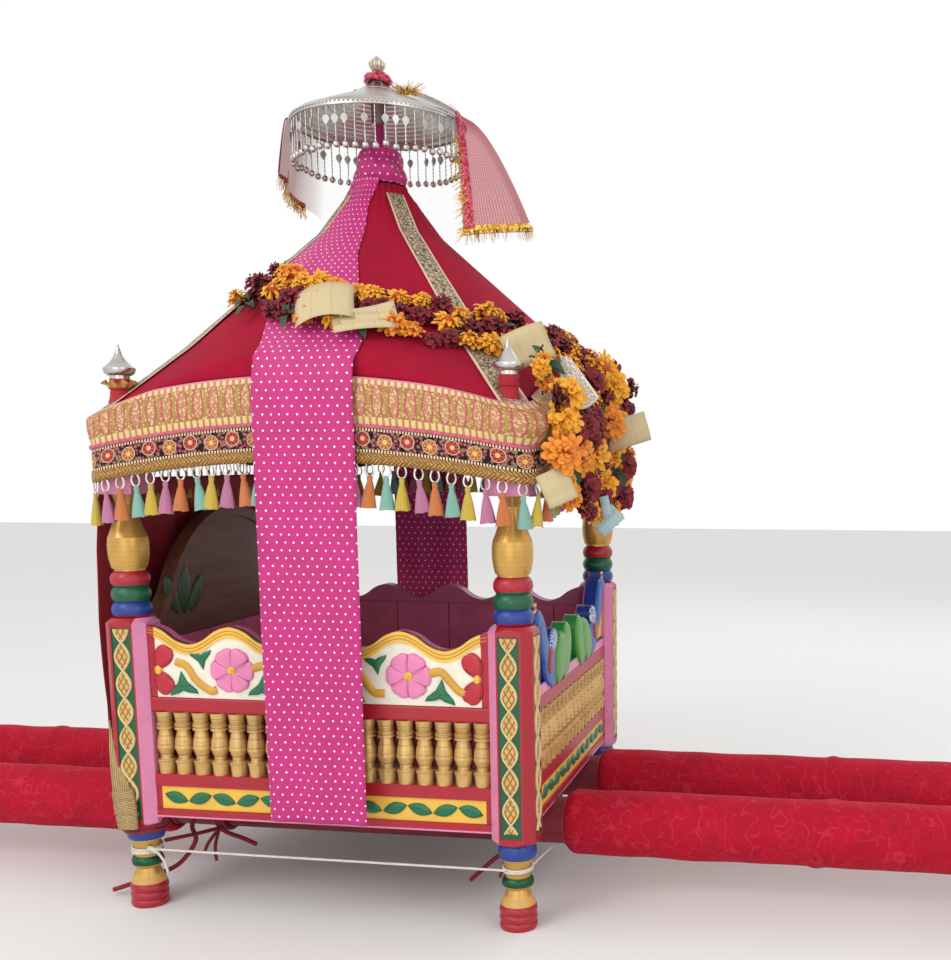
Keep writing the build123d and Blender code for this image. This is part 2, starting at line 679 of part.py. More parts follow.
def umbrella_dish():
    """The beaten cone with its rolled rim and the socket that drops over the rod."""
    bore = ROD_RADIUS + TURN_CLEARANCE
    ceiling = ROD_TOP + SEAT_CLEARANCE
    socket_foot = DISH_RIM_Z + DISH_RIM_HEIGHT
    curve = [(share * DISH_RADIUS, DISH_RIM_Z + rise * DISH_RISE) for share, rise in DISH_CURVE]
    outside = [(DISH_RADIUS, DISH_RIM_Z), (DISH_RADIUS, DISH_RIM_Z + DISH_RIM_HEIGHT), *curve]
    outside.append((SOCKET_RADIUS, DISH_TOP_Z))
    under = [(r - DISH_SHEET / 2, z - 2 * DISH_SHEET) for r, z in curve]
    lip = DISH_RADIUS - 2 * DISH_SHEET
    inside = [
        (SOCKET_RADIUS, under[-1][1]), (SOCKET_RADIUS, socket_foot),
        (bore, socket_foot), (bore, ceiling), (0, ceiling),
    ]
    points = [(0, DISH_TOP_Z), *outside[::-1], (lip, DISH_RIM_Z), (lip, socket_foot - DISH_SHEET)]
    points += [*under, *inside, (0, DISH_TOP_Z)]
    profile = Plane.XZ * make_face(Polyline(*points))
    return revolve(profile, Axis.Z)


def pendant():
    """Chain, leaf and end ball of one pendant, as a flat plate in the XZ plane under Z = 0."""
    length = PENDANT_LENGTH
    points = [
        (1.2, 0), (1.2, -0.16 * length), (5.0, -0.24 * length), (0.9, -0.42 * length),
        (0.9, -0.9 * length), (2.4, -0.94 * length), (1.2, -length),
    ]
    mirrored = [(-x, z) for x, z in reversed(points)]
    outline = Polyline(*points, *mirrored, points[0])
    return Rot(90, 0, 0) * extrude(make_face(outline), PENDANT_THICK / 2, both=True)


def umbrella_pendants():
    """The ring of pendants under the rim."""
    at = DISH_RADIUS - DISH_SHEET
    hung = Pos(0, -at, DISH_RIM_Z) * pendant()
    return Compound([Rot(0, 0, 360 / PENDANTS * i) * hung for i in range(PENDANTS)])


def finial_wrap():
    """The cloth bound round the foot of the bud."""
    half = WRAP_HEIGHT / 2
    return turned([
        (half, WRAP_RADIUS * 0.85, WRAP_RADIUS, 0),
        (half, WRAP_RADIUS, WRAP_RADIUS * 0.75, 0),
    ], DISH_TOP_Z)


def umbrella_finial():
    """The lotus bud on top."""
    return turned([
        (BUD_HEIGHT * 0.1, BUD_RADIUS * 0.55, BUD_RADIUS * 0.7, 0),
        (BUD_HEIGHT * 0.1, BUD_RADIUS * 0.7, BUD_RADIUS * 0.55, 0),
        (BUD_HEIGHT * 0.25, BUD_RADIUS * 0.6, BUD_RADIUS * 0.92, 0),
        (BUD_HEIGHT * 0.2, BUD_RADIUS * 0.92, BUD_RADIUS, 0),
        (BUD_HEIGHT * 0.35, BUD_RADIUS, BUD_RADIUS * 0.15, 0),
    ], DISH_TOP_Z + WRAP_HEIGHT)


def veil():
    """The net over the back of the parasol, lying on the cone and hanging out past the rim."""
    curve = [(share * DISH_RADIUS, DISH_RIM_Z + rise * DISH_RISE) for share, rise in DISH_CURVE]
    (low, low_z), (high, high_z) = curve[-2:]
    start = WRAP_RADIUS + VEIL_THICK
    start_z = low_z + (high_z - low_z) * (low - start) / (low - high)
    rim = (DISH_RADIUS + VEIL_RIM_EASE, DISH_RIM_Z + DISH_RIM_HEIGHT + VEIL_THICK)
    drop = VEIL_DROP + rim[1] - DISH_RIM_Z
    reach = VEIL_REACH - rim[0]
    hang = [(rim[0] + share_out * reach, rim[1] - share_down * drop) for share_out, share_down in VEIL_CURVE]
    line = [(start, start_z), *reversed(curve[:-1]), rim] + hang
    under = [(x, z + VEIL_LIFT) for x, z in line]
    over = [(x + VEIL_THICK * 0.6, z + VEIL_THICK + VEIL_LIFT) for x, z in reversed(line)]
    profile = Plane.XZ * make_face(Polyline(*under, *over, under[0]))
    return Rot(0, 0, VEIL_START) * revolve(profile, Axis.Z, VEIL_SWEEP)


# Scarf and curtain

def scarf(centre_x):
    """One fall of the long scarf: along the canopy's face and straight down past the wall."""
    shell = roof_form(SCARF_GROW, -SCARF_RAISE) - roof_form(SCARF_GROW - SCARF_THICK)
    half = SCARF_WIDTH / 2
    neck = SCARF_NECK / 2
    plan = Polyline(
        (centre_x - half, -SCARF_OUT), (centre_x + half, -SCARF_OUT), (centre_x + half, -SCARF_SPREAD_Y),
        (neck, -SCARF_NECK_Y), (-neck, -SCARF_NECK_Y), (centre_x - half, -SCARF_SPREAD_Y),
        (centre_x - half, -SCARF_OUT))
    column = Pos(0, 0, VALANCE_CORNER_Z) * extrude(make_face(plan), HUB_TOP - VALANCE_CORNER_Z)
    over = shell & column
    head = box(centre_x - half, centre_x + half, -SCARF_OUT, -SCARF_IN, VALANCE_CORNER_Z, HUB_TOP)
    head &= roof_form(SCARF_GROW, -SCARF_RAISE)
    fall = box(centre_x - half, centre_x + half, -SCARF_OUT, -SCARF_IN, SCARF_FOOT, VALANCE_CORNER_Z)
    return over + head + fall


def scarf_knot():
    """The bundle that ties the scarf round the hub."""
    knot = turned([
        (KNOT_HEIGHT * 0.25, KNOT_RADIUS * 0.6, KNOT_RADIUS, 0),
        (KNOT_HEIGHT * 0.4, KNOT_RADIUS, KNOT_RADIUS * 0.9, 0),
        (KNOT_HEIGHT * 0.35, KNOT_RADIUS * 0.9, KNOT_RADIUS * 0.4, 0),
    ], KNOT_FOOT)
    bore = Pos(0, 0, KNOT_FOOT) * Cylinder(ROD_RADIUS + SOFT_GAP, 3 * KNOT_HEIGHT)
    return knot - bore


def left_curtain():
    """The red curtain outside the left wall, longer at its front end."""
    out = FACE + SOFT_GAP + CURTAIN_THICK
    width = FACE - CURTAIN_EDGE
    tail = -width + CURTAIN_TAIL
    head = EAVES_CORNER_Z - SOFT_GAP
    outline = Polyline(
        (-width, head), (-width, CURTAIN_FOOT), (tail, CURTAIN_FOOT), (tail, CURTAIN_MID_FOOT),
        (width, CURTAIN_MID_FOOT), (width, head), (-width, head))
    sheet = extrude(Plane.YZ * make_face(outline), CURTAIN_THICK)
    return Pos(-out, 0, 0) * sheet


# The garland's lie on the two slopes. Rows hold: distance along the face, height of its middle.
GARLAND_FRONT = [(-150.0, 880.0), (-90.0, 852.0), (20.0, 826.0), (110.0, 830.0), (176.0, 866.0)]
GARLAND_RIGHT = [(-176.0, 870.0), (-130.0, 806.0), (0.0, 808.0), (120.0, 798.0), (215.0, 768.0)]
GARLAND_HALF = 27.0

# The bunch on the right eave. Rows hold: distance along the face, foot, head.
BUNCH = [(-265.0, 632.0, 756.0), (-172.0, 610.0, 780.0), (-95.0, 592.0, 800.0), (0.0, 576.0, 812.0),
         (120.0, 572.0, 800.0), (235.0, 580.0, 762.0)]
BUNCH_TIE = 40.0


def strip_block(lower, upper, near, far):
    """An upright block between two lines of points, on the front side."""
    face = make_face(Polyline(*upper, *reversed(lower), upper[0]))
    return Pos(0, -near, 0) * (Rot(90, 0, 0) * extrude(face, far - near))


def string_block(line):
    """The garland's string, as a block of even height through the slope."""
    lower = [(along, height - GARLAND_HALF) for along, height in line]
    upper = [(along, height + GARLAND_HALF) for along, height in line]
    return strip_block(lower, upper, 0, EAVE)


def garland():
    """The string of flower heads: across the front slope, over a hip, and bunched on the right eave."""
    seat = roof_form(SCARF_GROW + SOFT_GAP, -SCARF_RAISE - SOFT_GAP)
    shell = roof_form(SCARF_GROW + SOFT_GAP + GARLAND_THICK, -SCARF_RAISE - SOFT_GAP) - seat
    front = string_block(GARLAND_FRONT) & shell
    right = around(string_block(GARLAND_RIGHT), 1) & shell
    near = FRINGE_Y + TASSEL_SKIRT / 2 + SCARF_STAND_OFF
    far = near + GARLAND_HANG
    feet = [(along, foot) for along, foot, head in BUNCH]
    heads = [(along, head) for along, foot, head in BUNCH]
    ties = [(along, head - BUNCH_TIE) for along, foot, head in BUNCH]
    bunch = around(strip_block(feet, heads, near, far), 1)
    tie = around(strip_block(ties, heads, EAVE, far), 1)
    return front + right + (tie - seat) + bunch


def build():
    """Every piece of the palanquin, by name."""
    outer = roof_form()
    lowered = roof_form(0, ROOF_THICK * 1.5 + SOFT_GAP)
    parts = {}
    for side_y, name_y in ((-1, "front"), (1, "rear")):
        for side_x, name_x in ((-1, "left"), (1, "right")):
            parts[f"post_{name_y}_{name_x}"] = post(side_x, side_y)
            parts[f"sleeve_{name_y}_{name_x}"] = sleeve(side_x, side_y)
        parts[f"pole_{name_y}"] = pole(side_y)
    sides = (("front", 0), ("right", 1), ("rear", 2), ("left", 3))
    bands = {across: valance(outer, across) for across in (True, False)}
    crests = {"front": wave_crest(), "right": end_crest(), "rear": wave_crest(), "left": headboard()}
    for side, turns in sides:
        across = side in ("front", "rear")
        parts[f"{side}_rails"] = around(wall_rails(not across), turns)
        parts[f"{side}_balusters"] = around(wall_balusters(), turns)
        parts[f"{side}_lining"] = around(wall_lining(), turns)
        parts[f"{side}_crest"] = around(crests[side], turns)
        parts[f"{side}_beam"] = around(beam_with_caps() if across else plain_beam(), turns)
        parts[f"{side}_eaves"] = around(eaves_board(lowered), turns)
        parts[f"{side}_valance"] = around(bands[across], turns)
    parts["floor_joists"] = floor_joists()
    parts["floor_boards"] = floor_boards()
    parts["rafters"] = rafters()
    parts["crown_block"] = crown_block()
    parts["canopy_cloth"] = roof_cloth(outer)
    parts["corner_finials"] = corner_finials()
    parts["umbrella_rod"] = umbrella_rod()
    parts["umbrella_dish"] = umbrella_dish()
    parts["umbrella_pendants"] = umbrella_pendants()
    parts["finial_wrap"] = finial_wrap()
    parts["umbrella_finial"] = umbrella_finial()
    parts["veil"] = veil()
    parts["scarf_front"] = scarf(SCARF_FRONT_X)
    parts["scarf_rear"] = around(scarf(-SCARF_REAR_X), 2)
    parts["scarf_knot"] = scarf_knot()
    parts["left_curtain"] = left_curtain()
    parts["garland"] = garland()
    return parts


os.makedirs("parts", exist_ok=True)
for node, shape in build().items():
    export_step(shape, f"parts/{node}.step")
    print(f"{node}: {shape.volume / 1000:.1f} cm3")
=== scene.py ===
# %% [markdown]
# # A carried palanquin, dressed for a procession
# The joiner's model is loaded first and is never moved. It holds the turned posts, walls, poles,
# roof timbers and the parasol at their real size. Each cell below then adds one finish or one
# piece of cloth, metal or flower work to it. All lengths are metres, with X along the front wall,
# -Y towards the viewer and Z up.

# %% Load the joiner's model
import bpy
import math
import random
from functools import partialmethod
from math import cos, pi, radians, sin, tau
from mathutils import Matrix, Vector, noise
from random import uniform


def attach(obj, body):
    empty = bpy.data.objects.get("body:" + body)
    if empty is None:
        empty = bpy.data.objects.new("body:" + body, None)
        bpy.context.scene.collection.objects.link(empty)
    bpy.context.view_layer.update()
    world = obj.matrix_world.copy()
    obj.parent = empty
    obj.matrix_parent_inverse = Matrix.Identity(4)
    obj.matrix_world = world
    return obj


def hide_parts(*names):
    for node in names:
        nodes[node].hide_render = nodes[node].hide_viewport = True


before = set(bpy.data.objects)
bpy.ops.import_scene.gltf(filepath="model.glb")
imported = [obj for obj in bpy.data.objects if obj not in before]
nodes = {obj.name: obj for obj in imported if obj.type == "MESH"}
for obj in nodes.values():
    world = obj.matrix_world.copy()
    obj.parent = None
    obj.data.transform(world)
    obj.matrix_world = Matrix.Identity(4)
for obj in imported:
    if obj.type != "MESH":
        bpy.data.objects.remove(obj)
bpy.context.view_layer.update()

scene = bpy.context.scene

# %% [markdown]
# ## Camera
# The picture was taken from knee height, close to the front wall and a little to its right. Its
# vanishing point lies low and right of the middle, so the lens is shifted, as on a view camera,
# and the uprights keep their lean.

# %% Set the camera
PICTURE_WIDTH = 951
PICTURE_HEIGHT = 960
FOCAL_PIXELS = 1151.0
AXIS_PIXEL = (652.0, 623.0)
SENSOR = 36.0

camera_data = bpy.data.cameras.new("camera")
camera_data.sensor_fit = "HORIZONTAL"
camera_data.sensor_width = SENSOR
camera_data.lens = SENSOR * FOCAL_PIXELS / PICTURE_WIDTH
camera_data.shift_x = (PICTURE_WIDTH / 2 - AXIS_PIXEL[0]) / PICTURE_WIDTH
camera_data.shift_y = (AXIS_PIXEL[1] - PICTURE_HEIGHT / 2) / PICTURE_WIDTH
camera = bpy.data.objects.new("camera", camera_data)
camera.location = (0.7045, -1.7685, 0.6474)
camera.rotation_euler = (radians(81.9), 0, radians(9.0))
scene.collection.objects.link(camera)
scene.camera = camera
print("lens", round(camera_data.lens, 2), "mm")

# %% [markdown]
# ## Light and floor
# Soft studio light: a bright even sky, one large lamp above the viewer's left shoulder and a weak
# one from the right. The backdrop is white only to the camera and to reflections, so it does not
# add light to the cloth.

# %% Make the studio
SKY_LIGHT = 0.92
FLOOR_HALF = 9.0


def lamp(name, size, power, place, target):
    """A square soft lamp that looks at a target."""
    data = bpy.data.lights.new(name, "AREA")
    data.size = size
    data.energy = power
    made = bpy.data.objects.new(name, data)
    made.location = place
    made.rotation_euler = (Vector(target) - Vector(place)).to_track_quat("-Z", "Y").to_euler()
    scene.collection.objects.link(made)


world = bpy.data.worlds.new("studio")
scene.world = world
world.use_nodes = True
sky = world.node_tree
sky.nodes.clear()


def backdrop(colour, strength):
    """An even sky all round."""
    made = sky.nodes.new("ShaderNodeBackground")
    made.inputs["Color"].default_value = colour
    made.inputs["Strength"].default_value = strength
    return made.outputs[0]


shown = backdrop((1, 1, 1, 1), 1.0)
lit = backdrop((1, 0.99, 0.97, 1), SKY_LIGHT)
rays = sky.nodes.new("ShaderNodeLightPath")
seen = rays.outputs["Is Camera Ray"]
for ray in ("Is Glossy Ray", "Is Transmission Ray"):
    either = sky.nodes.new("ShaderNodeMath")
    either.operation = "MAXIMUM"
    sky.links.new(seen, either.inputs[0])
    sky.links.new(rays.outputs[ray], either.inputs[1])
    seen = either.outputs[0]
choice = sky.nodes.new("ShaderNodeMixShader")
sky.links.new(seen, choice.inputs[0])
sky.links.new(lit, choice.inputs[1])
sky.links.new(shown, choice.inputs[2])
sky_out = sky.nodes.new("ShaderNodeOutputWorld")
sky.links.new(choice.outputs[0], sky_out.inputs["Surface"])

lamp("key", 1.6, 34, (-1.3, -2.6, 2.5), (0, 0, 0.6))
lamp("fill", 1.4, 8, (2.4, -2.0, 1.4), (0, 0, 0.5))
lamp("back", 1.4, 14, (1.2, 2.6, 2.4), (0, 0, 0.8))
lamp("low", 1.5, 9, (0.2, -2.9, 0.75), (0, 0, 0.5))

floor_data = bpy.data.meshes.new("floor")
corners = [(x * FLOOR_HALF, y * FLOOR_HALF, 0) for x, y in ((-1, -1), (1, -1), (1, 1), (-1, 1))]
floor_data.from_pydata(corners, [], [(0, 1, 2, 3)])
floor = bpy.data.objects.new("floor", floor_data)
scene.collection.objects.link(floor)
scene.view_settings.view_transform = "Standard"

# %% [markdown]
# ## A short hand for finishes
# Every finish here is painted by nodes: bands of colour by height, dots and flowers by distance
# from a cell's middle, wear by noise. Written out in full, that is hundreds of lines, so a small
# helper class names the node steps that a painter would name.

# %% Helper for finishes


class Finish:
    """One material, and the steps that paint it."""

    def __init__(self, name, rough=0.5, metal=0.0, **sockets):
        self.material = bpy.data.materials.new(name)
        self.material.use_nodes = True
        self.tree = self.material.node_tree
        self.shader = self.tree.nodes["Principled BSDF"]
        self.shader.inputs["Roughness"].default_value = rough
        self.shader.inputs["Metallic"].default_value = metal
        for socket, value in sockets.items():
            self.shader.inputs[socket.replace("_", " ")].default_value = value

    def feed(self, socket, value):
        """Give an input a value, or join another node's socket to it."""
        if isinstance(value, bpy.types.NodeSocket):
            self.tree.links.new(value, socket)
        elif value is not None:
            socket.default_value = value

    def node(self, kind, settings=None, inputs=None):
        """A node with its settings and inputs."""
        made = self.tree.nodes.new("ShaderNode" + kind)
        for setting, value in (settings or {}).items():
            setattr(made, setting, value)
        for socket, value in (inputs or {}).items():
            self.feed(made.inputs[socket], value)
        return made

    def math(self, operation, a, b=None, c=None, clamp=False):
        """One sum on numbers or sockets."""
        made = self.node("Math", {"operation": operation, "use_clamp": clamp}, {0: a, 1: b, 2: c})
        return made.outputs[0]

    times = partialmethod(math, "MULTIPLY")
    plus = partialmethod(math, "ADD")
    minus = partialmethod(math, "SUBTRACT")
    times_plus = partialmethod(math, "MULTIPLY_ADD")
    size = partialmethod(math, "ABSOLUTE")
    most = partialmethod(math, "MAXIMUM")
    least = partialmethod(math, "MINIMUM")
    sine = partialmethod(math, "SINE")
    wrap = partialmethod(math, "WRAP")
    # These two answer 1 or 0: under an edge, and within a reach of a middle
    under = partialmethod(math, "LESS_THAN")
    near = partialmethod(math, "COMPARE")

    def span(self, a, b):
        """The distance from the middle, from two distances at a right angle."""
        return self.math("SQRT", self.plus(self.times(a, a), self.times(b, b)))

    def apart(self, value, pitch):
        """How far a value is from the middle of the nearest of even cells."""
        return self.size(self.wrap(value, pitch / 2, -pitch / 2))

    def place(self):
        """Where a point of the piece is, as X, Y and Z in metres."""
        at = self.node("TexCoord").outputs["Object"]
        parts = self.node("SeparateXYZ", inputs={0: at})
        return at, parts.outputs[0], parts.outputs[1], parts.outputs[2]

    def lie(self):
        """Where a point of the cloth is on its flat cut: along and up, in metres."""
        at = self.node("UVMap", {"uv_map": "lie"}).outputs[0]
        parts = self.node("SeparateXYZ", inputs={0: at})
        return at, parts.outputs[0], parts.outputs[1]

    def noise(self, scale, detail=3.0, vector=None, rough=0.55):
        """Cloudy noise from 0 to 1."""
        inputs = {"Scale": scale, "Detail": detail, "Roughness": rough, "Vector": vector}
        return self.node("TexNoise", inputs=inputs).outputs[0]

    def cells(self, scale, vector=None, feature="F1"):
        """Distance to the nearest of many scattered points."""
        return self.node("TexVoronoi", {"feature": feature}, {"Scale": scale, "Vector": vector})

    def ramp(self, value, stops):
        """Bands of colour along a value. Stops hold: where a band starts, its colour."""
        made = self.node("ValToRGB", inputs={0: value})
        table = made.color_ramp
        table.interpolation = "CONSTANT"
        while len(table.elements) < len(stops):
            table.elements.new(0.5)
        for element, (position, colour) in zip(table.elements, stops):
            element.position = position
            element.color = tint(colour)
        return made.outputs[0]

    def mix(self, share, a, b):
        """Colour a where the share is 0, and b where it is 1."""
        made = self.node("Mix", {"data_type": "RGBA"}, {0: share, 6: tint(a), 7: tint(b)})
        return made.outputs[2]

    def step(self, value, edge, soft=0.0):
        """1 where the value is over the edge, with a soft border if one is given."""
        if not soft:
            return self.math("GREATER_THAN", value, edge)
        low = self.minus(value, edge - soft)
        return self.math("DIVIDE", low, 2 * soft, clamp=True)

    def surface(self, socket, value):
        """Send a value that varies to one of the surface's sockets."""
        self.feed(self.shader.inputs[socket], value)

    def colour(self, value):
        """Send a colour to the surface."""
        self.surface("Base Color", tint(value))

    def bump(self, height, depth, strength=1.0):
        """Raise the surface by a height from 0 to 1, over a depth in metres."""
        made = self.node("Bump", inputs={"Height": height, "Distance": depth, "Strength": strength})
        self.surface("Normal", made.outputs[0])


print("helper for finishes ready")

# %% [markdown]
# Colours are written as screen codes. The renderer counts in amounts of light, so every code is
# turned into light first.

# %% Colours as light


def paint(code):
    """The light of a colour that is written as a screen code."""
    channels = [int(code[i:i + 2], 16) / 255 for i in (0, 2, 4)]
    return tuple(((c + 0.055) / 1.055) ** 2.4 if c > 0.04 else c / 12.92 for c in channels)


def darker(code, share):
    """A colour with only a share of its light."""
    return tuple(c * share for c in paint(code))


def tint(colour):
    """What a colour input takes: four values, or another node's socket as it is."""
    if isinstance(colour, bpy.types.NodeSocket):
        return colour
    return (*(paint(colour) if isinstance(colour, str) else colour), 1.0)


print("half grey on a screen is", round(paint("808080")[0], 3), "of full light")

# %% [markdown]
# ## A short hand for meshes
# Turned work, cords, strips and sheets are all rows of points joined to the next row. One class
# gathers such rows, each with its material and its place on the flat cloth, and makes one object
# of them, which then rides on the box or on the parasol.

# %% Helper for meshes


class Work:
    """The points and faces of one piece, gathered from rows."""

    def __init__(self):
        self.points = []
        self.faces = []
        self.kinds = []
        self.lies = []

    def grid(self, rows, kind=0, round_way=False, lies=None):
        """Join rows of equally many points. round_way joins each row's end to its start."""
        first = len(self.points)
        count = len(rows[0])
        for r, row in enumerate(rows):
            for c, point in enumerate(row):
                self.points.append(tuple(point))
                self.lies.append(lies[r][c] if lies else (0.0, 0.0))
        span = count if round_way else count - 1
        for r in range(len(rows) - 1):
            for c in range(span):
                a = first + r * count + c
                b = first + r * count + (c + 1) % count
                self.faces.append((a, b, b + count, a + count))
                self.kinds.append(kind)
        return self

    def cap(self, row, kind=0):
        """One face, by itself or over a ring of points."""
        first = len(self.points)
        self.points += [tuple(point) for point in row]
        self.lies += [(0.0, 0.0)] * len(row)
        self.faces.append(tuple(range(first, first + len(row))))
        self.kinds.append(kind)
        return self

    def take(self, other, matrix=Matrix.Identity(4), kind=None):
        """A copy of other work, moved by a matrix."""
        first = len(self.points)
        self.points += [tuple(matrix @ Vector(point)) for point in other.points]
        self.lies += other.lies
        self.faces += [tuple(first + i for i in face) for face in other.faces]
        self.kinds += other.kinds if kind is None else [kind] * len(other.faces)
        return self

    def make(self, name, finishes, body="box"):
        """Turn the work into an object that rides on a body."""
        mesh = bpy.data.meshes.new(name)
        mesh.from_pydata(self.points, [], self.faces)
        for finish in finishes:
            mesh.materials.append(finish.material)
        mesh.polygons.foreach_set("material_index", self.kinds)
        mesh.shade_smooth()
        layer = mesh.uv_layers.new(name="lie")
        for loop in mesh.loops:
            layer.data[loop.index].uv = self.lies[loop.vertex_index]
        mesh.update()
        made = bpy.data.objects.new(name, mesh)
        scene.collection.objects.link(made)
        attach(made, body)
        return made


print("helper for meshes ready")

# %% [markdown]
# Chains, beads and bindings are rings of points round an axis. A cord is such rings along a line:
# each ring stands square to the line and keeps the direction of the one before, so nothing twists.

# %% Rings and cords


def spot(turn, reach, z, x=0.0, y=0.0):
    """A point at a turn round an upright axis, and at a reach from it."""
    return Vector((x + reach * cos(turn), y + reach * sin(turn), z))


def ring(radius, height, count):
    """A level ring of points."""
    turn = tau / count
    return [spot(turn * i, radius, height) for i in range(count)]


def cord_work(route, radius, count=6, kind=0, work=None):
    """A round cord along a route of points, which may be given a radius for each point."""
    work = work or Work()
    rows = []
    side = None
    for i, point in enumerate(route):
        ahead = Vector(route[min(i + 1, len(route) - 1)]) - Vector(route[max(i - 1, 0)])
        ahead.normalize()
        if side is None:
            side = ahead.orthogonal()
        side = (side - ahead * side.dot(ahead)).normalized()
        across = ahead.cross(side)
        thick = radius[i] if isinstance(radius, list) else radius
        turns = [tau / count * k for k in range(count)]
        rows.append([Vector(point) + (side * cos(t) + across * sin(t)) * thick for t in turns])
    work.grid(rows, kind, round_way=True)
    work.cap(rows[0][::-1], kind)
    work.cap(rows[-1], kind)
    return work


print("faces in a short cord", len(cord_work([(0, 0, 0), (0, 0, 1)], 0.1).faces))

# %% [markdown]
# ## Paints and dyes
# The box is painted in flat enamel colours by hand, and the cloths are dyed in strong colours.
# They are named once here, by their screen codes, as the painter's tins.

# %% Mix the colours
RED = "a8182a"
DEEP_RED = "8c1a2e"
PINK = "d985ab"
PLUM = "a83a70"
MAROON = "922748"
GREEN = "0c5736"
BLUE = "1d3b8c"
GOLD = "cda052"
YELLOW = "ecbc48"
WHITE = "e9e2d2"
BROWN = "5b3a24"
BARE_WOOD = "8a6a48"
VELVET = "a50f30"
MAGENTA = "c4207a"
SILVER = "c9ccd0"
NIGHT = "2a1018"


def worn(finish, colour, depth=0.22):
    """A colour with the uneven cover of brush paint and a little grime."""
    at = finish.place()[0]
    cloudy = finish.noise(28.0, 5.0, at)
    fine = finish.noise(252.0, 3.0, at)
    share = finish.times(finish.step(cloudy, 0.56, 0.16), depth)
    aged = finish.mix(share, colour, finish.mix(0.6, colour, (0.06, 0.04, 0.03)))
    speck = finish.times(finish.step(fine, 0.7, 0.04), 0.35)
    return finish.mix(speck, aged, (0.3, 0.24, 0.18))


def painted(finish, colour, depth=0.22):
    """Worn paint, with brush marks and small knocks."""
    finish.colour(worn(finish, colour, depth))
    finish.bump(finish.noise(90.0, 4.0, finish.place()[0]), 0.0006, 0.5)
    return finish


def dress(finish, *names):
    """Put a finish on nodes of the joiner's model."""
    for name in names:
        mesh = nodes[name].data
        mesh.materials.clear()
        mesh.materials.append(finish.material)
        mesh.polygons.foreach_set("material_index", [0] * len(mesh.polygons))


print("colours mixed")

# %% [markdown]
# ## Posts
# Each post is one turned timber, painted band by band while it still sat in the lathe: red ribbed
# foot, gold cone, green bead, gold neck, blue collar, then the red square shaft with pink inner
# corners and a sunk green panel, three coloured rings and a gold vase. The bands follow the
# height, and the shaft's colours follow the distance from the post's own axis.

# %% Paint the posts
POST_AT = 0.28
SHAFT_FOOT = 0.123
SHAFT_HEAD = 0.426
VASE_FOOT = 0.4905
POST_BANDS = [
    (0.0, RED), (0.033, GOLD), (0.059, GREEN), (0.074, GOLD), (0.1, BLUE), (SHAFT_FOOT, RED),
    (SHAFT_HEAD, BLUE), (0.4475, GREEN), (0.469, RED), (VASE_FOOT, GOLD),
]
PANEL_HALF = 0.0152
PANEL_FOOT = 0.1355
PANEL_HEAD = 0.4135


def post_finish():
    """Paint for all four posts."""
    f = Finish("post paint", rough=0.38)
    at, x, y, z = f.place()
    bands = f.ramp(z, POST_BANDS)
    u = f.minus(f.size(x), POST_AT)
    v = f.minus(f.size(y), POST_AT)
    nearer = f.least(u, v)
    further = f.most(u, v)
    shaft = f.near(z, (SHAFT_FOOT + SHAFT_HEAD) / 2, (SHAFT_HEAD - SHAFT_FOOT) / 2)
    inner = f.times(shaft, f.under(nearer, -0.0175))
    corner = f.times(shaft, f.under(further, -0.0175))
    colour = f.mix(inner, bands, PINK)
    colour = f.mix(corner, colour, PLUM)
    sunk = f.near(further, 0.0292, 0.0011)
    middle = f.under(f.size(nearer), PANEL_HALF)
    height = f.near(z, (PANEL_FOOT + PANEL_HEAD) / 2, (PANEL_HEAD - PANEL_FOOT) / 2)
    panel = f.times(f.times(sunk, middle), height)
    colour = f.mix(panel, colour, GREEN)
    # Fine dark rings on the gold bands are painted shade, as in turned grooves
    line = f.sine(f.times(z, tau / 0.007))
    gold = f.most(f.step(z, VASE_FOOT), f.near(z, 0.073, 0.026))
    groove_shade = f.times(f.times(f.step(line, 0.9, 0.1), 0.16), gold)
    colour = f.mix(groove_shade, colour, BROWN)
    f.surface("Metallic", f.times(gold, 0.55))
    f.surface("Roughness", f.times_plus(f.noise(40.0, 3.0, at), 0.25, 0.22))
    return painted(f, colour)


dress(post_finish(), "post_front_left", "post_front_right", "post_rear_left", "post_rear_right")
print("post bands", len(POST_BANDS))

# %% [markdown]
# ## Walls
# Each wall is red rails around a sunk yellow strip, gold balusters before a maroon board and,
# front and rear, a white crest with a raised yellow moulding. The sides of the box are alike, so
# one finish serves all four: the distance along a wall is the smaller of |X| and |Y|, and the
# depth is the larger.

# %% Paint the walls
RAIL_END = 0.241
RAIL_BACK = 0.2745
LINING_BACK = 0.2664
CREST_BACK = 0.288
BIRD_BACK = 0.276
BIRD_FOOT = 0.328
STRIP_Z = 0.167
BALUSTER_FOOT = 0.202
BALUSTER_TALL = 0.09
# Where the balusters are cut in, as shares of their height
GROOVES = (0.2, 0.26, 0.32, 0.47, 0.61, 0.8, 0.84, 0.87, 0.91)


def wall_place(f):
    """Along the wall, outwards from the middle of the box, and up."""
    _, x, y, z = f.place()
    wide = f.size(x)
    deep = f.size(y)
    return f.least(wide, deep), f.most(wide, deep), z


def rail_finish():
    """Red rails, a pink line at the foot and the yellow ground of the leaf strip."""
    f = Finish("rail paint", rough=0.4)
    along, depth, z = wall_place(f)
    strip = f.near(z, STRIP_Z, 0.0166)
    strip = f.times(strip, f.under(along, RAIL_END))
    strip = f.times(strip, f.step(depth, 0.29))
    colour = f.mix(strip, RED, YELLOW)
    colour = f.mix(f.under(z, 0.1405), colour, PINK)
    inside = f.under(depth, RAIL_BACK)
    colour = f.mix(inside, colour, MAROON)
    return painted(f, colour)


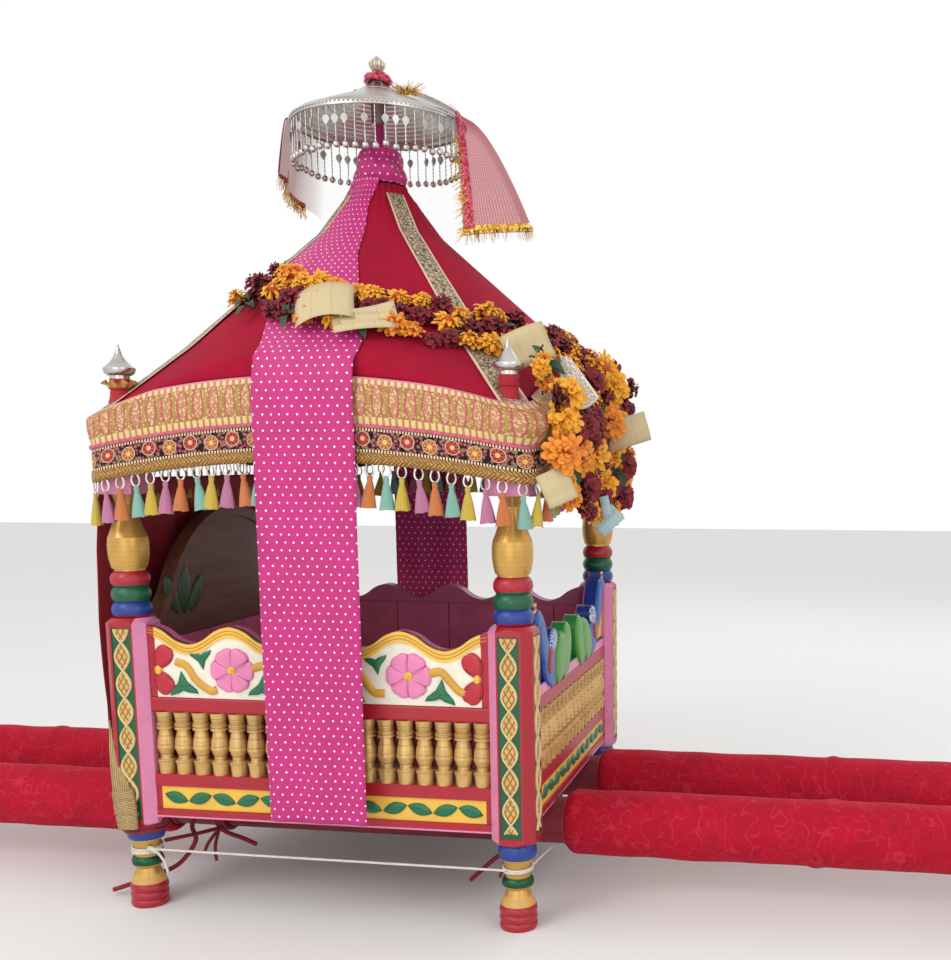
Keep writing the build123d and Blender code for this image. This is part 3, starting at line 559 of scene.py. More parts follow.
def baluster_finish():
    """Gold paint, with painted shade in the grooves and pale patches of painted highlight."""
    f = Finish("baluster gold", rough=0.34, metal=0.45)
    _, _, z = wall_place(f)
    # Dark lines where the turning is cut in are painted shade in the grooves
    groove_shade = None
    for share in GROOVES:
        cut = f.near(z, BALUSTER_FOOT + BALUSTER_TALL * share, 0.0009)
        groove_shade = cut if groove_shade is None else f.most(groove_shade, cut)
    colour = f.mix(f.times(groove_shade, 0.45), "cfa462", BROWN)
    # Pale patches are painted highlight on the gold
    painted_highlight = f.step(f.noise(60.0, 3.0, f.place()[0]), 0.5, 0.2)
    colour = f.mix(f.times(painted_highlight, 0.4), colour, "e6c888")
    return painted(f, colour, 0.3)


def lining_finish():
    """Maroon boards with upright joints, painted lighter inside as painted light."""
    f = Finish("lining paint", rough=0.5)
    along, depth, z = wall_place(f)
    joint = f.apart(along, 0.1)
    line = f.under(joint, 0.0009)
    # The inner faces are lighter than the maroon outside: painted light for the dim inside of the box
    inside = f.under(depth, LINING_BACK)
    colour = f.mix(inside, MAROON, "d0628a")
    colour = f.mix(line, colour, "4a1428")
    return painted(f, colour, 0.35)


print("balusters are cut in at", len(GROOVES), "heights")

# %% [markdown]
# The crests and the bird board are painted by depth: the raised moulding stands out furthest, and
# the back of a board is known by lying behind its face. Bare and thinly painted timber shows its
# grain instead, which is noise that is stretched along one axis.

# %% Paint the crests and the timber


def crest_finish():
    """White ground, yellow moulding, red end strips and a pink back painted lighter as painted light.
    """
    f = Finish("crest paint", rough=0.42)
    along, depth, z = wall_place(f)
    proud = f.step(depth, 0.2964)
    colour = f.mix(proud, WHITE, YELLOW)
    edge = f.times(f.under(depth, 0.2955), f.step(depth, CREST_BACK))
    colour = f.mix(edge, colour, BROWN)
    # The back is pink, painted lighter than its paint as painted light for the dim inside of the box
    back = f.under(depth, CREST_BACK)
    colour = f.mix(back, colour, "c4658c")
    ends = f.times(f.step(along, 0.238), f.step(depth, CREST_BACK))
    colour = f.mix(ends, colour, RED)
    return painted(f, colour)


def bird_finish():
    """The peafowl board: blue bodies outside, pink base, and a pink back painted lighter as painted
    light.
    """
    f = Finish("peafowl paint", rough=0.36)
    along, depth, z = wall_place(f)
    colour = f.mix(f.step(z, BIRD_FOOT), PINK, BLUE)
    tails = f.times(f.under(along, 0.118), f.step(z, BIRD_FOOT))
    colour = f.mix(tails, colour, "2f8f3f")
    # The back is pink, painted lighter than its paint as painted light for the dim inside of the box
    back = f.under(depth, BIRD_BACK)
    colour = f.mix(back, colour, "c4658c")
    return painted(f, colour)


def wood_finish(name, colour, dark, along=0, rough=0.55):
    """Wood with its grain along one axis, under a thin coat or bare."""
    f = Finish(name, rough=rough)
    at = f.place()[0]
    stretch = [26.0, 26.0, 26.0]
    stretch[along] = 1.6
    grain = f.node("Mapping", inputs={"Vector": at, "Scale": stretch}).outputs[0]
    rings = f.noise(3.0, 6.0, grain, 0.62)
    base = f.mix(f.step(rings, 0.5, 0.22), colour, dark)
    f.colour(worn(f, base, 0.3))
    f.bump(rings, 0.0008, 0.6)
    return f


SIDES = ("front", "right", "rear", "left")


def on_sides(part):
    """A part's name on each of the four sides."""
    return [f"{side}_{part}" for side in SIDES]


dress(rail_finish(), *on_sides("rails"))
dress(baluster_finish(), *on_sides("balusters"))
dress(lining_finish(), *on_sides("lining"))
dress(crest_finish(), "front_crest", "rear_crest")
dress(bird_finish(), "right_crest")
dress(wood_finish("headboard wood", "7d5038", "5a3624", 1, 0.45), "left_crest")
dress(wood_finish("bare wood", BARE_WOOD, "6b4d30", 2), "rafters", "crown_block")
dress(wood_finish("deck wood", BARE_WOOD, "5f4229", 0), "floor_boards")
dress(wood_finish("joist wood", BARE_WOOD, "5f4229", 1), "floor_joists")
dress(wood_finish("pole paint", "8a1a2a", "641220", 0, 0.5), "pole_front", "pole_rear")
print("walls painted")

# %% [markdown]
# ## Roof timber
# Under the cloth, the cap blocks are pink and the beams red. The eaves boards are covered by the
# bands, and were left in thin red paint.

# %% Paint the roof timber


def beam_finish():
    """Pink cap blocks and red beams."""
    f = Finish("beam paint", rough=0.45)
    along, depth, z = wall_place(f)
    colour = f.mix(f.step(along, 0.2515), DEEP_RED, PINK)
    return painted(f, colour, 0.3)


dress(beam_finish(), *on_sides("beam"))
dress(wood_finish("eaves paint", DEEP_RED, "5a1420", 2), *on_sides("eaves"))
print("roof timber painted")

# %% [markdown]
# ## Silver work
# The parasol is beaten silver sheet with chased rings and a beaded rim. The corner drops are
# pressed in two halves. Their bound necks are red cloth, so the finish changes with height.

# %% Polish the silver


def silver_finish(name, ring_pitch=0.0, wrapped_below=None, petals=0, warm=0.15):
    """Beaten silver, with chased rings or petals, and red binding below a height."""
    f = Finish(name, rough=0.3, metal=0.95)
    at, x, y, z = f.place()
    dents = f.noise(55.0, 3.0, at)
    tarnish = f.step(f.noise(22.0, 5.0, at), 0.52, 0.14)
    colour = f.mix(f.times(tarnish, 0.55), SILVER, "8c8578")
    colour = f.mix(warm, colour, "d9bd86")
    height = dents
    if ring_pitch:
        rings = f.sine(f.times(f.span(x, y), tau / ring_pitch))
        height = f.times_plus(rings, 0.5, dents)
        colour = f.mix(f.times(f.step(rings, 0.75, 0.2), 0.35), colour, "6f6a60")
    if petals:
        turn = f.math("ARCTAN2", y, x)
        ribs = f.sine(f.times(turn, petals))
        height = f.times_plus(ribs, 0.8, height)
        colour = f.mix(f.times(f.step(ribs, 0.7, 0.25), 0.4), colour, "77683f")
    if wrapped_below:
        cloth = f.under(z, wrapped_below)
        colour = f.mix(cloth, colour, "b01c2c")
        f.surface("Metallic", f.times_plus(cloth, -0.95, 0.95))
        f.surface("Roughness", f.times_plus(cloth, 0.45, 0.28))
    f.colour(colour)
    f.bump(height, 0.0009, 0.8)
    return f


PLAIN_SILVER = silver_finish("plain silver")
dress(silver_finish("chased silver", ring_pitch=0.009), "umbrella_dish")
BOUND_ROD = Finish("bound rod", rough=0.8)
BOUND_ROD.colour("a31a5c")
dress(BOUND_ROD, "umbrella_rod")
dress(silver_finish("bud silver", petals=14, warm=0.45), "umbrella_finial")
dress(silver_finish("corner silver", wrapped_below=0.757), "corner_finials")
print("silver polished")

# %% [markdown]
# ## The tent's shape
# The velvet hangs from the peak over four rafters and the arched eaves boards, so its plan is
# nearly a circle at the top and a rounded square at the eaves. The shape is needed for the
# velvet, ribbons, scarf and flowers, so it is a function of the turn about the Z axis (0 is the
# front, a quarter turn is the right side) and the height.

# %% Shape of the tent
EAVE = 0.316
EAVE_CORNER = 0.042
QUARTER = pi / 2
# Rows hold: height, half width at the hips, half width at mid side
TENT_ROWS = [
    (0.56, 0.437, 0.593), (0.69, 0.316, 0.425), (0.734, 0.275, 0.374), (0.803, 0.211, 0.297),
    (0.855, 0.17, 0.24), (0.937, 0.104, 0.147), (0.985, 0.066, 0.093), (1.058, 0.027, 0.038),
]


def blend_rows(rows, value):
    """Read a table of rows by its first column, with straight lines between rows."""
    rows = sorted(rows)
    value = min(max(value, rows[0][0]), rows[-1][0])
    for low, high in zip(rows, rows[1:]):
        if value <= high[0]:
            share = (value - low[0]) / (high[0] - low[0])
            return [a + (b - a) * share for a, b in zip(low[1:], high[1:])]
    return list(rows[-1][1:])


def eave_reach(turn):
    """How far the rounded square of the eaves is from the middle."""
    swing = abs((turn + QUARTER / 2) % QUARTER - QUARTER / 2)
    flat = EAVE - EAVE_CORNER
    if EAVE * math.tan(swing) <= flat:
        return EAVE / cos(swing)
    along = flat * (sin(swing) + cos(swing))
    return along + math.sqrt(along ** 2 - 2 * flat ** 2 + EAVE_CORNER ** 2)


def tent_reach(turn, z):
    """How far the tent's surface is from the middle."""
    swing = (turn + QUARTER / 2) % QUARTER - QUARTER / 2
    hip, side = blend_rows(TENT_ROWS, z)
    rise = side - hip
    bow = (hip ** 2 + rise ** 2) / (2 * rise)
    back = side - bow
    slope = back * cos(swing) + math.sqrt(bow ** 2 - (back * sin(swing)) ** 2)
    return min(slope, eave_reach(turn))


def tent_point(turn, z, out=0.0):
    """A point on the tent, or a distance outside it."""
    reach = tent_reach(turn, z) + out
    return Vector((reach * sin(turn), -reach * cos(turn), z))


def eave_place(side, s, out=0.0):
    """A point of the eaves at a distance s along a side from its middle, and its turn."""
    flat = EAVE - EAVE_CORNER
    if abs(s) <= flat:
        local = Vector((s, -(EAVE + out)))
    else:
        swing = (abs(s) - flat) / EAVE_CORNER
        radius = EAVE_CORNER + out
        local = Vector((flat + radius * sin(swing), -(flat + radius * cos(swing))))
        local.x = math.copysign(local.x, s)
    turned = Matrix.Rotation(QUARTER * side, 2) @ local
    return turned, math.atan2(turned.x, -turned.y)


print("tent mid front reach at 0.8 m", round(tent_reach(0, 0.8), 3))

# %% [markdown]
# ## Velvet
# The canopy is one tent of crimson velvet, cut in four gores and sewn along the hips. It is lined,
# so it has some thickness. The gathers at the peak come from its binding round the hub, and the
# long soft sags between the hips come from its own weight.

# %% Velvet of the tent
PEAK = 1.062
BAND_EDGES = {0: (0.715, 0.757), 1: (0.715, 0.776), 2: (0.715, 0.757), 3: (0.715, 0.776)}


def arch(x, y):
    """1 at the middle of a side and 0 at its ends."""
    return 1 - (min(abs(x), abs(y)) / EAVE) ** 2


def velvet_edge(turn):
    """Height of the velvet's lower edge, where the brocade band starts."""
    reach = eave_reach(turn)
    low, high = BAND_EDGES[round(turn / QUARTER) % 4]
    return low + (high - low) * arch(reach * sin(turn), reach * cos(turn))


def sag(turn, z):
    """Soft waves of hung velvet, outwards."""
    wave = noise.noise(Vector((turn * 3.0, z * 4.0, 1.7))) * 0.0022
    gather = max(0.0, (z - 0.98) / 0.08)
    return wave + gather * 0.0016 * sin(turn * 30)


def velvet_finish():
    """Crimson pile: dark face on, pale at grazing light."""
    f = Finish("velvet", rough=0.9, Sheen_Weight=0.06, Sheen_Roughness=0.5, Specular_IOR_Level=0.15,
               Sheen_Tint=(1.0, 0.2, 0.3, 1))
    at = f.place()[0]
    brushed = f.noise(14.0, 4.0, at)
    colour = f.mix(f.step(brushed, 0.5, 0.25), VELVET, "8d0f28")
    f.colour(colour)
    f.bump(f.noise(420.0, 2.0, at), 0.0004, 0.4)
    return f


def thicken(piece, depth, offset=-1.0):
    """Give a cloth its thickness."""
    modifier = piece.modifiers.new("cloth thickness", "SOLIDIFY")
    modifier.thickness = depth
    modifier.offset = offset
    return piece


def cloth_area(piece):
    """Area of a cloth's face in square metres."""
    return sum(face.area for face in piece.data.polygons)


VELVET_CLOTH = velvet_finish()
COLUMNS = 240
ROWS = 44
rows = []
for r in range(ROWS + 1):
    row = []
    for c in range(COLUMNS):
        turn = tau * c / COLUMNS - pi
        z = PEAK - (PEAK - velvet_edge(turn) + 0.002) * r / ROWS
        row.append(tent_point(turn, z, 0.0016 + sag(turn, z)))
    rows.append(row)
velvet = Work().grid(rows[::-1], round_way=True).make("canopy_velvet", [VELVET_CLOTH])
thicken(velvet, 0.0012)
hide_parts("canopy_cloth")

# %% [markdown]
# ## Brocade bands
# Two bands hang from the velvet's edge: a pale brocade with upright flowered cells, and a narrow
# black one with round flowers. Both follow the arch of the eaves, and their upper edge is stuffed
# so that it bulges at the corners. One strip of cloth per side carries both, woven by its height.

# %% Shape of the bands
BRAID_TOP = 0.015
SEAM = 0.048
BAND_TOP = 0.112


def band_height(side, x, y, v):
    """Height of a level of the band: 0 is the braid's foot and BAND_TOP the velvet's edge."""
    low_edge, high_edge = BAND_EDGES[side]
    levels = [(0.0, 0.612, 0.644), (BRAID_TOP, 0.627, 0.659), (SEAM, 0.658, 0.692),
              (BAND_TOP, low_edge, high_edge)]
    low, high = blend_rows(levels, v)
    return low + (high - low) * arch(x, y)


def hump(share):
    """A swelling: 0 at the shares 0 and 1, and 1 between them."""
    return max(0.0, sin(pi * min(1.0, max(0.0, share))))


def band_out(side, s, v):
    """How far the stuffed band stands out."""
    upper = hump((v - SEAM) / (BAND_TOP - SEAM))
    lower = hump((v - BRAID_TOP) / (SEAM - BRAID_TOP))
    corner = math.exp(-((abs(s) - 0.309) / 0.055) ** 2)
    stuffing = 0.015 if (side, s > 0) in ((0, True), (1, False)) else 0.001
    ripple = noise.noise(Vector((s * 9.0 + side * 7, v * 22.0, 4.4)))
    out = 0.0042 + 0.0036 * upper + 0.001 * lower + corner * stuffing * max(0.25, upper)
    return out + 0.0014 * ripple * (upper + 0.3)


def band_point(side, s, v, extra=0.0):
    """A point of the band at a distance s along a side and a level v."""
    out = band_out(side, s, v) + extra
    flat, turn = eave_place(side, s)
    z = band_height(side, flat.x, flat.y, v)
    reach = min(tent_reach(turn, z), flat.length)
    drawn = flat * (reach / flat.length)
    local, _ = eave_place(side, s, out)
    shift = local - flat
    return Vector((drawn.x + shift.x, drawn.y + shift.y, z))


print("band corner", [round(value, 3) for value in band_point(0, EAVE, SEAM)])

# %% [markdown]
# The weave is drawn in the strip's own measures. Distance along it wraps round at each cell or
# flower, so one drawn cell repeats along the whole cloth, and the height chooses the row.

# %% Weave the brocade
CELL_PITCH = 0.0228
CELL_Z = 0.083
FLOWER_WIDE = 0.0305


def brocade_finish():
    """Woven bands: pink cells and gold columns above, round flowers on black below."""
    f = Finish("brocade", rough=0.55, Specular_IOR_Level=0.2)
    lie, s, v = f.lie()
    near = f.apart(s, CELL_PITCH)
    rise = f.times(f.minus(v, CELL_Z), 1 / 0.021)
    bulge = f.minus(1.0, f.times(rise, rise))
    lens = f.times(f.math("SQRT", f.most(bulge, 0.0)), 0.0068)
    inside = f.minus(lens, near)
    cell = f.step(inside, 0.0009)
    rim = f.near(inside, 0.0, 0.0012)
    flowers = f.cells(260.0, lie).outputs["Distance"]
    petals = f.under(flowers, 0.42)
    ground = f.mix(petals, "a98248", "dcb87c")
    cells = f.mix(petals, "bd8a66", "dfc08a")
    upper = f.mix(cell, ground, cells)
    upper = f.mix(f.times(rim, 0.75), upper, "c0446a")
    gap = f.size(f.minus(near, CELL_PITCH / 2))
    stem = f.times(f.under(gap, 0.0015), f.near(v, CELL_Z, 0.013))
    upper = f.mix(stem, upper, "b6925a")
    dots = f.apart(s, 0.009)
    lower_border = f.near(v, 0.0565, 0.0052)
    dotted = f.mix(f.under(dots, 0.0028), "bf8a55", "e6cd97")
    upper = f.mix(lower_border, upper, dotted)
    picot = f.mix(f.under(dots, 0.0024), "c98a68", "e6cf98")
    upper = f.mix(f.step(v, 0.1035), upper, picot)
    upper = f.mix(f.step(v, 0.1095), upper, "dd8fa0")
    index = f.math("FLOOR", f.times_plus(s, 1 / FLOWER_WIDE, 0.5))
    across = f.wrap(s, FLOWER_WIDE / 2, -FLOWER_WIDE / 2)
    swap = f.size(f.math("MODULO", index, 2.0))
    middle = f.times_plus(swap, 0.0032, 0.03)
    up = f.minus(v, middle)
    span = f.span(across, up)
    angle = f.math("ARCTAN2", up, across)
    scallop = f.times(f.sine(f.times(angle, 8.0)), 0.0007)
    flower = f.under(span, f.plus(scallop, 0.0086))
    heart = f.under(span, 0.0032)
    petal_line = f.step(f.sine(f.times(angle, 8.0)), 0.75)
    bloom = f.mix(swap, "cc8452", "b8424c")
    bloom = f.mix(f.times(petal_line, 0.85), bloom, "4a1018")
    bloom = f.mix(heart, bloom, "e9c06a")
    leafy = f.cells(215.0, lie).outputs["Distance"]
    sprig = f.mix(f.under(leafy, 0.36), "16070c", "6c8a62")
    sprig = f.mix(f.near(leafy, 0.46, 0.09), sprig, "a83a50")
    band = f.mix(flower, sprig, bloom)
    band = f.mix(f.near(span, 0.0094, 0.0006), band, "d9b98a")
    bead = f.under(f.apart(s, 0.0042), 0.0012)
    beads = f.mix(bead, NIGHT, "ead9b0")
    edge = f.most(f.near(v, 0.0172, 0.0019), f.near(v, 0.0452, 0.0019))
    band = f.mix(edge, band, beads)
    colour = f.mix(f.step(v, SEAM), band, upper)
    thread = f.noise(900.0, 1.0, lie)
    f.colour(f.mix(f.times(f.step(thread, 0.55, 0.1), 0.25), colour, NIGHT))
    f.bump(f.plus(thread, f.times(petals, 0.5)), 0.0006, 0.6)
    return f


def cord_finish(name, colour, pitch=0.004):
    """A twisted cord."""
    f = Finish(name, rough=0.6)
    at = f.place()[0]
    twist = f.step(f.noise(1 / pitch, 1.0, at), 0.5, 0.1)
    f.colour(f.mix(twist, colour, darker(colour, 0.6)))
    return f


print("cells on the front band", round(2 * EAVE / CELL_PITCH))

# %% [markdown]
# The front and rear strips run right round the corners, and the side strips end against them. A
# pink cord covers the seam between the two weaves.

# %% Hang the bands
BROCADE = brocade_finish()
PIPING = cord_finish("pink piping", "d4607c")
FULL = EAVE - EAVE_CORNER + EAVE_CORNER * QUARTER
band_cloths = {}
for side, name in enumerate(SIDES):
    reach = FULL if side in (0, 2) else EAVE - EAVE_CORNER
    columns = 150 if side in (0, 2) else 120
    levels = [i / 34 * BAND_TOP for i in range(35)]
    stops = [reach * (2 * i / columns - 1) for i in range(columns + 1)]
    rows = [[band_point(side, s, v) for s in stops] for v in levels]
    lies = [[(s, v) for s in stops] for v in levels]
    cloth = Work().grid(rows, lies=lies).make(f"band_{name}", [BROCADE])
    thicken(cloth, 0.001)
    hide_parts(f"{name}_valance")
    seam = cord_work([band_point(side, s, SEAM + 0.0015, 0.001) for s in stops], 0.0026, 6)
    piping = seam.make(f"piping_{name}", [PIPING])
    band_cloths[side] = (cloth, piping, reach)
    print(name, "band", round(2 * reach, 3), "m long,", round(cloth_area(cloth), 4), "m2")

# %% [markdown]
# ## Braid and tassels
# A gold plaited braid covers the lower edge, and tassels hang from it by white loops, in the
# order pink, orange, mint, yellow. Each is a bundle of threads, so it is a fluted cone with a
# ragged hem that swings a little out of true.

# %% Make the braid and tassels
TASSEL_PITCH = 0.0224
TASSEL_SHIFT = -0.0122
FIRST_TASSEL = 12
TASSEL_COLOURS = ["e687b6", "fb8630", "9bdccb", "fbd52e"]
LOOP_DROP = 0.0155
PLY = 0.0056
LOOP = [(0.003, 0.0015), (0.0056, -0.004), (0.006, -0.0085), (0.0044, -0.013), (0.0, -LOOP_DROP)]


def braid_finish():
    """Gold plait: slanting threads that meet in the middle."""
    f = Finish("gold braid", rough=0.42, metal=0.35)
    lie, s, v = f.lie()
    slope = f.size(f.minus(v, BRAID_TOP / 2))
    ply = f.sine(f.times(f.plus(s, slope), tau / PLY))
    colour = f.mix(f.step(ply, 0.0, 0.9), "94642c", "d8a660")
    glint = f.step(f.noise(300.0, 2.0, lie), 0.52, 0.05)
    colour = f.mix(f.times(glint, 0.75), colour, "8a6230")
    f.colour(colour)
    f.bump(ply, 0.0009, 0.8)
    return f


def thread_finish(name, colour):
    """Silky threads that run down the tassel."""
    f = Finish(name, rough=0.55, Sheen_Weight=0.3)
    lie, u, v = f.lie()
    uneven = f.times_plus(f.noise(300.0, 2.0, lie), 9.0, f.times(u, 22.0))
    strands = f.sine(uneven)
    shade = f.times(f.step(strands, 0.3, 0.5), 0.35)
    f.colour(f.mix(shade, colour, darker(colour, 0.55)))
    f.bump(strands, 0.0008, 0.8)
    return f


def tassel_work(seed):
    """One tassel that hangs from its loop's foot at the origin."""
    chance = random.Random(seed)
    profile = [(0.0012, 0.002), (0.0036, 0.0), (0.004, -0.003), (0.0033, -0.0072), (0.005, -0.012),
               (0.0074, -0.022), (0.0096, -0.033), (0.011, -0.042)]
    count = 16
    rows = []
    lies = []
    for radius, height in profile:
        row = []
        for k in range(count):
            turn = tau * k / count
            flute = 1 + 0.07 * sin(turn * 5 + seed) * min(1.0, -height / 0.02)
            ragged = chance.uniform(-0.0014, 0.0012) if height < -0.03 else 0.0
            x = radius * flute * cos(turn)
            y = 0.72 * radius * flute * sin(turn)
            row.append(Vector((x, y, height + ragged)))
        rows.append(row)
        lies.append([(tau * k / count, height) for k in range(count)])
    work = Work().grid(rows[::-1], round_way=True, lies=lies[::-1])
    work.cap([point * 0.98 for point in rows[-1]][::-1])
    work.cap(rows[0])
    return work


print("faces in a tassel", len(tassel_work(0).faces))

# %% [markdown]
# Five different tassels are enough, because each copy is swung a little. The four colours follow
# one another along every side.

# %% Sew on the braid and tassels
BRAID = braid_finish()
WHITE_CORD = cord_finish("white cord", "ece6dc", 0.02)
THREADS = [thread_finish(f"tassel {name}", colour)
           for name, colour in zip(("pink", "orange", "mint", "yellow"), TASSEL_COLOURS)]
TASSELS = [tassel_work(seed) for seed in range(5)]
loop_route = [Vector((-x, 0, z)) for x, z in LOOP] + [Vector((x, 0, z)) for x, z in LOOP[-2::-1]]
LOOP_WORK = cord_work(loop_route, 0.0012, 6)
random.seed(11)
total = 0
for side, name in enumerate(SIDES):
    cloth, piping, reach = band_cloths[side]
    stops = [reach * (2 * i / 140 - 1) for i in range(141)]
    levels = [(0.0004, 0.0004), (0.0, 0.0022), (0.0075, 0.0028), (0.0148, 0.0022), (0.0152, 0.0004)]
    rows = [[band_point(side, s, v, extra) for s in stops] for v, extra in levels]
    fringe = Work().grid(rows, 0, lies=[[(s, v) for s in stops] for v, extra in levels])
    count = int(reach / TASSEL_PITCH)
    for i in range(-count, count + 2):
        s = i * TASSEL_PITCH + TASSEL_SHIFT
        if abs(s) > reach:
            continue
        top = band_point(side, s, 0.0, 0.0008)
        _, turn = eave_place(side, s, 0.0)
        flat = EAVE - EAVE_CORNER
        heading = QUARTER * side + math.copysign(max(0.0, (abs(s) - flat) / EAVE_CORNER), s)
        swing = Matrix.Rotation(uniform(-0.09, 0.09), 4, "Y")
        place = Matrix.Translation(top) @ Matrix.Rotation(heading, 4, "Z") @ swing
        fringe.take(LOOP_WORK, place, 1)
        hang = place @ Matrix.Translation((0, 0, -LOOP_DROP))
        tilt = Matrix.Rotation(uniform(-0.08, 0.08), 4, "Y")
        fringe.take(TASSELS[random.randrange(5)], hang @ tilt, 2 + (i + FIRST_TASSEL) % 4)
        total += 1
    made = fringe.make(f"fringe_{name}", [BRAID, WHITE_CORD, *THREADS])
print("tassels", total)

# %% [markdown]
# ## Scarf
# One long magenta scarf with sewn white spangles is gathered round the hub under the parasol. Its
# two ends run down the front and rear slopes, spread to full width at the eaves and hang to the
# foot of the walls. It is cut from one length, so the dots are spaced on the flat cloth.

# %% Scarf cloth and its fall
SCARF_HALF = 0.07
# Rows hold: height, middle of the scarf, half its width
SCARF_FRONT = [(0.15, 0.014, SCARF_HALF), (0.8, 0.014, SCARF_HALF), (0.94, -0.038, 0.058),
               (1.025, -0.028, 0.034), (1.072, -0.012, 0.026)]
SCARF_REAR = [(0.15, 0.054, SCARF_HALF), (0.8, 0.054, SCARF_HALF), (0.93, 0.03, 0.06),
              (1.072, 0.004, 0.03)]
DOT_PITCH = 0.0105
DOT_HALF = 0.0063


def spangled_finish(name, ground):
    """Cloth with round spangles in staggered rows."""
    f = Finish(name, rough=0.6, Sheen_Weight=0.12)
    lie, u, v = f.lie()
    row = f.math("FLOOR", f.times(v, 1 / DOT_PITCH))
    shift = f.times(f.size(f.math("MODULO", row, 2.0)), DOT_HALF)
    across = f.wrap(f.plus(u, shift), DOT_HALF, -DOT_HALF)
    up = f.minus(f.wrap(v, DOT_PITCH, 0.0), DOT_PITCH / 2)
    span = f.span(across, up)
    spangle = f.under(span, 0.00145)
    soft = f.noise(18.0, 3.0, lie)
    cloth = f.mix(f.step(soft, 0.5, 0.3), ground, darker(ground, 0.82))
    f.colour(f.mix(spangle, cloth, "f1dfe6"))
    f.surface("Roughness", f.times_plus(spangle, -0.35, 0.62))
    return f


def scarf_rows(table, foot, head, steps, columns):
    """Points of a scarf down the front, and their places on the flat cloth."""
    rows = []
    lies = []
    flat_down = 0.0
    before = None
    for i in range(steps + 1):
        z = head + (foot - head) * i / steps
        middle, half = blend_rows(table, z)
        row = []
        for c in range(columns + 1):
            u = 2 * c / columns - 1
            x = middle + u * half
            turn = math.atan2(x, 0.2)
            for _ in range(12):
                reach = tent_reach(turn, z)
                turn = math.asin(max(-0.95, min(0.95, x / reach)))
            surface = reach * cos(turn)
            ease = min(1.0, max(0.0, (0.8 - z) / 0.06))
            ease = ease * ease * (3 - 2 * ease)
            out = 0.0042 + 0.0112 * ease
            fold = 0.0022 * sin(u * 7.0 + z * 5.0) * (0.4 + 0.6 * ease)
            fold += 0.002 * noise.noise(Vector((u * 2, z * 6, 9)))
            row.append(Vector((x, -(surface + out + fold), z)))
        flat_down += 0 if before is None else (row[columns // 2] - before).length
        before = row[columns // 2]
        rows.append(row)
        lies.append([((2 * c / columns - 1) * SCARF_HALF, flat_down) for c in range(columns + 1)])
    return rows, lies


print("spangles across the scarf", round(SCARF_HALF / DOT_HALF))

# %% [markdown]
# Both falls are laid by the same function. The rear one is made as if it were in front, and is then
# turned half round. What is gathered round the hub is a crumpled ring of the same cloth.

# %% Lay the scarf
SCARF_CLOTH = spangled_finish("spangled scarf", MAGENTA)
for name, table, turned in (("front", SCARF_FRONT, 0), ("rear", SCARF_REAR, 2)):
    rows, lies = scarf_rows(table, foot=0.152, head=1.072, steps=130, columns=30)
    turn = Matrix.Rotation(QUARTER * turned, 3, "Z")
    rows = [[turn @ point for point in row] for row in rows]
    cloth = Work().grid(rows, lies=lies).make(f"scarf_{name}_cloth", [SCARF_CLOTH])
    thicken(cloth, 0.0009)
    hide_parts(f"scarf_{name}")
    length = lies[-1][0][1]
    print("scarf", name, round(length, 3), "m")

# Rows hold: height, radius of the gathered cloth
GATHER = [(1.066, 0.036), (1.076, 0.0385), (1.086, 0.0375), (1.096, 0.035), (1.106, 0.032),
          (1.117, 0.026)]
rows = []
lies = []
for i in range(25):
    z = GATHER[0][0] + 0.051 * i / 24
    up = z - GATHER[0][0]
    base = blend_rows(GATHER, z)[0]
    row = []
    for c in range(72):
        turn = tau * c / 72
        fold = 0.0016 * sin(turn * 9 + up * 90) + 0.0022 * sin(turn * 2 + up * 160)
        row.append(spot(turn, base + fold, z))
    rows.append(row)
    lies.append([(0.25 * c / 72, z) for c in range(72)])
knot = Work().grid(rows, round_way=True, lies=lies).make("scarf_gather", [SCARF_CLOTH])
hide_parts("scarf_knot")
print("gathered ring", len(knot.data.polygons), "faces")

# %% [markdown]
# ## Hip ribbons
# The four seams of the tent are covered by woven silver ribbon with cream edges, wider towards the
# eaves. A ribbon is stiff along its length and bends sharply over the hip, so it is a narrow strip
# laid on the tent's own surface, a few millimetres out.

# %% Hip ribbons
RIBBON_TOP = 1.045
RIBBON_FOOT = 0.716
RIBBON_LONG = 0.45


def ribbon_finish():
    """Silver-gold ground with small dark curls, and cream edges."""
    f = Finish("hip ribbon", rough=0.5, metal=0.25)
    lie, u, v = f.lie()
    at = f.place()[0]
    curls = f.cells(150.0, at, "DISTANCE_TO_EDGE").outputs["Distance"]
    twist = f.noise(240.0, 2.0, at)
    dark = f.near(f.plus(curls, f.times(twist, 0.5)), 0.36, 0.075)
    colour = f.mix(dark, "cdb998", "54463c")
    edge = f.size(u)
    colour = f.mix(f.step(edge, 0.8), colour, "dcc4a4")
    colour = f.mix(f.near(edge, 0.78, 0.025), colour, "8a6148")
    colour = f.mix(f.step(edge, 0.965), colour, "c98a86")
    f.colour(colour)
    f.bump(twist, 0.0005, 0.5)
    return f


RIBBON = ribbon_finish()
ribbons = Work()
for hip in range(4):
    middle_turn = QUARTER * (hip + 0.5)
    rows = []
    lies = []
    for i in range(61):
        z = RIBBON_TOP + (RIBBON_FOOT - RIBBON_TOP) * i / 60
        half = 0.013 + 0.01 * i / 60
        reach = tent_reach(middle_turn, z)
        row = []
        for c in range(13):
            u = 2 * c / 12 - 1
            turn = middle_turn + u * half / reach
            row.append(tent_point(turn, z, 0.0046 + 0.0008 * noise.noise(Vector((u, z * 30, hip)))))
        rows.append(row)
        lies.append([(2 * c / 12 - 1, RIBBON_LONG * i / 60) for c in range(13)])
    ribbons.grid(rows, lies=lies)
strip = ribbons.make("hip_ribbons", [RIBBON])
thicken(strip, 0.0008)
print("ribbons", len(strip.data.polygons), "faces")

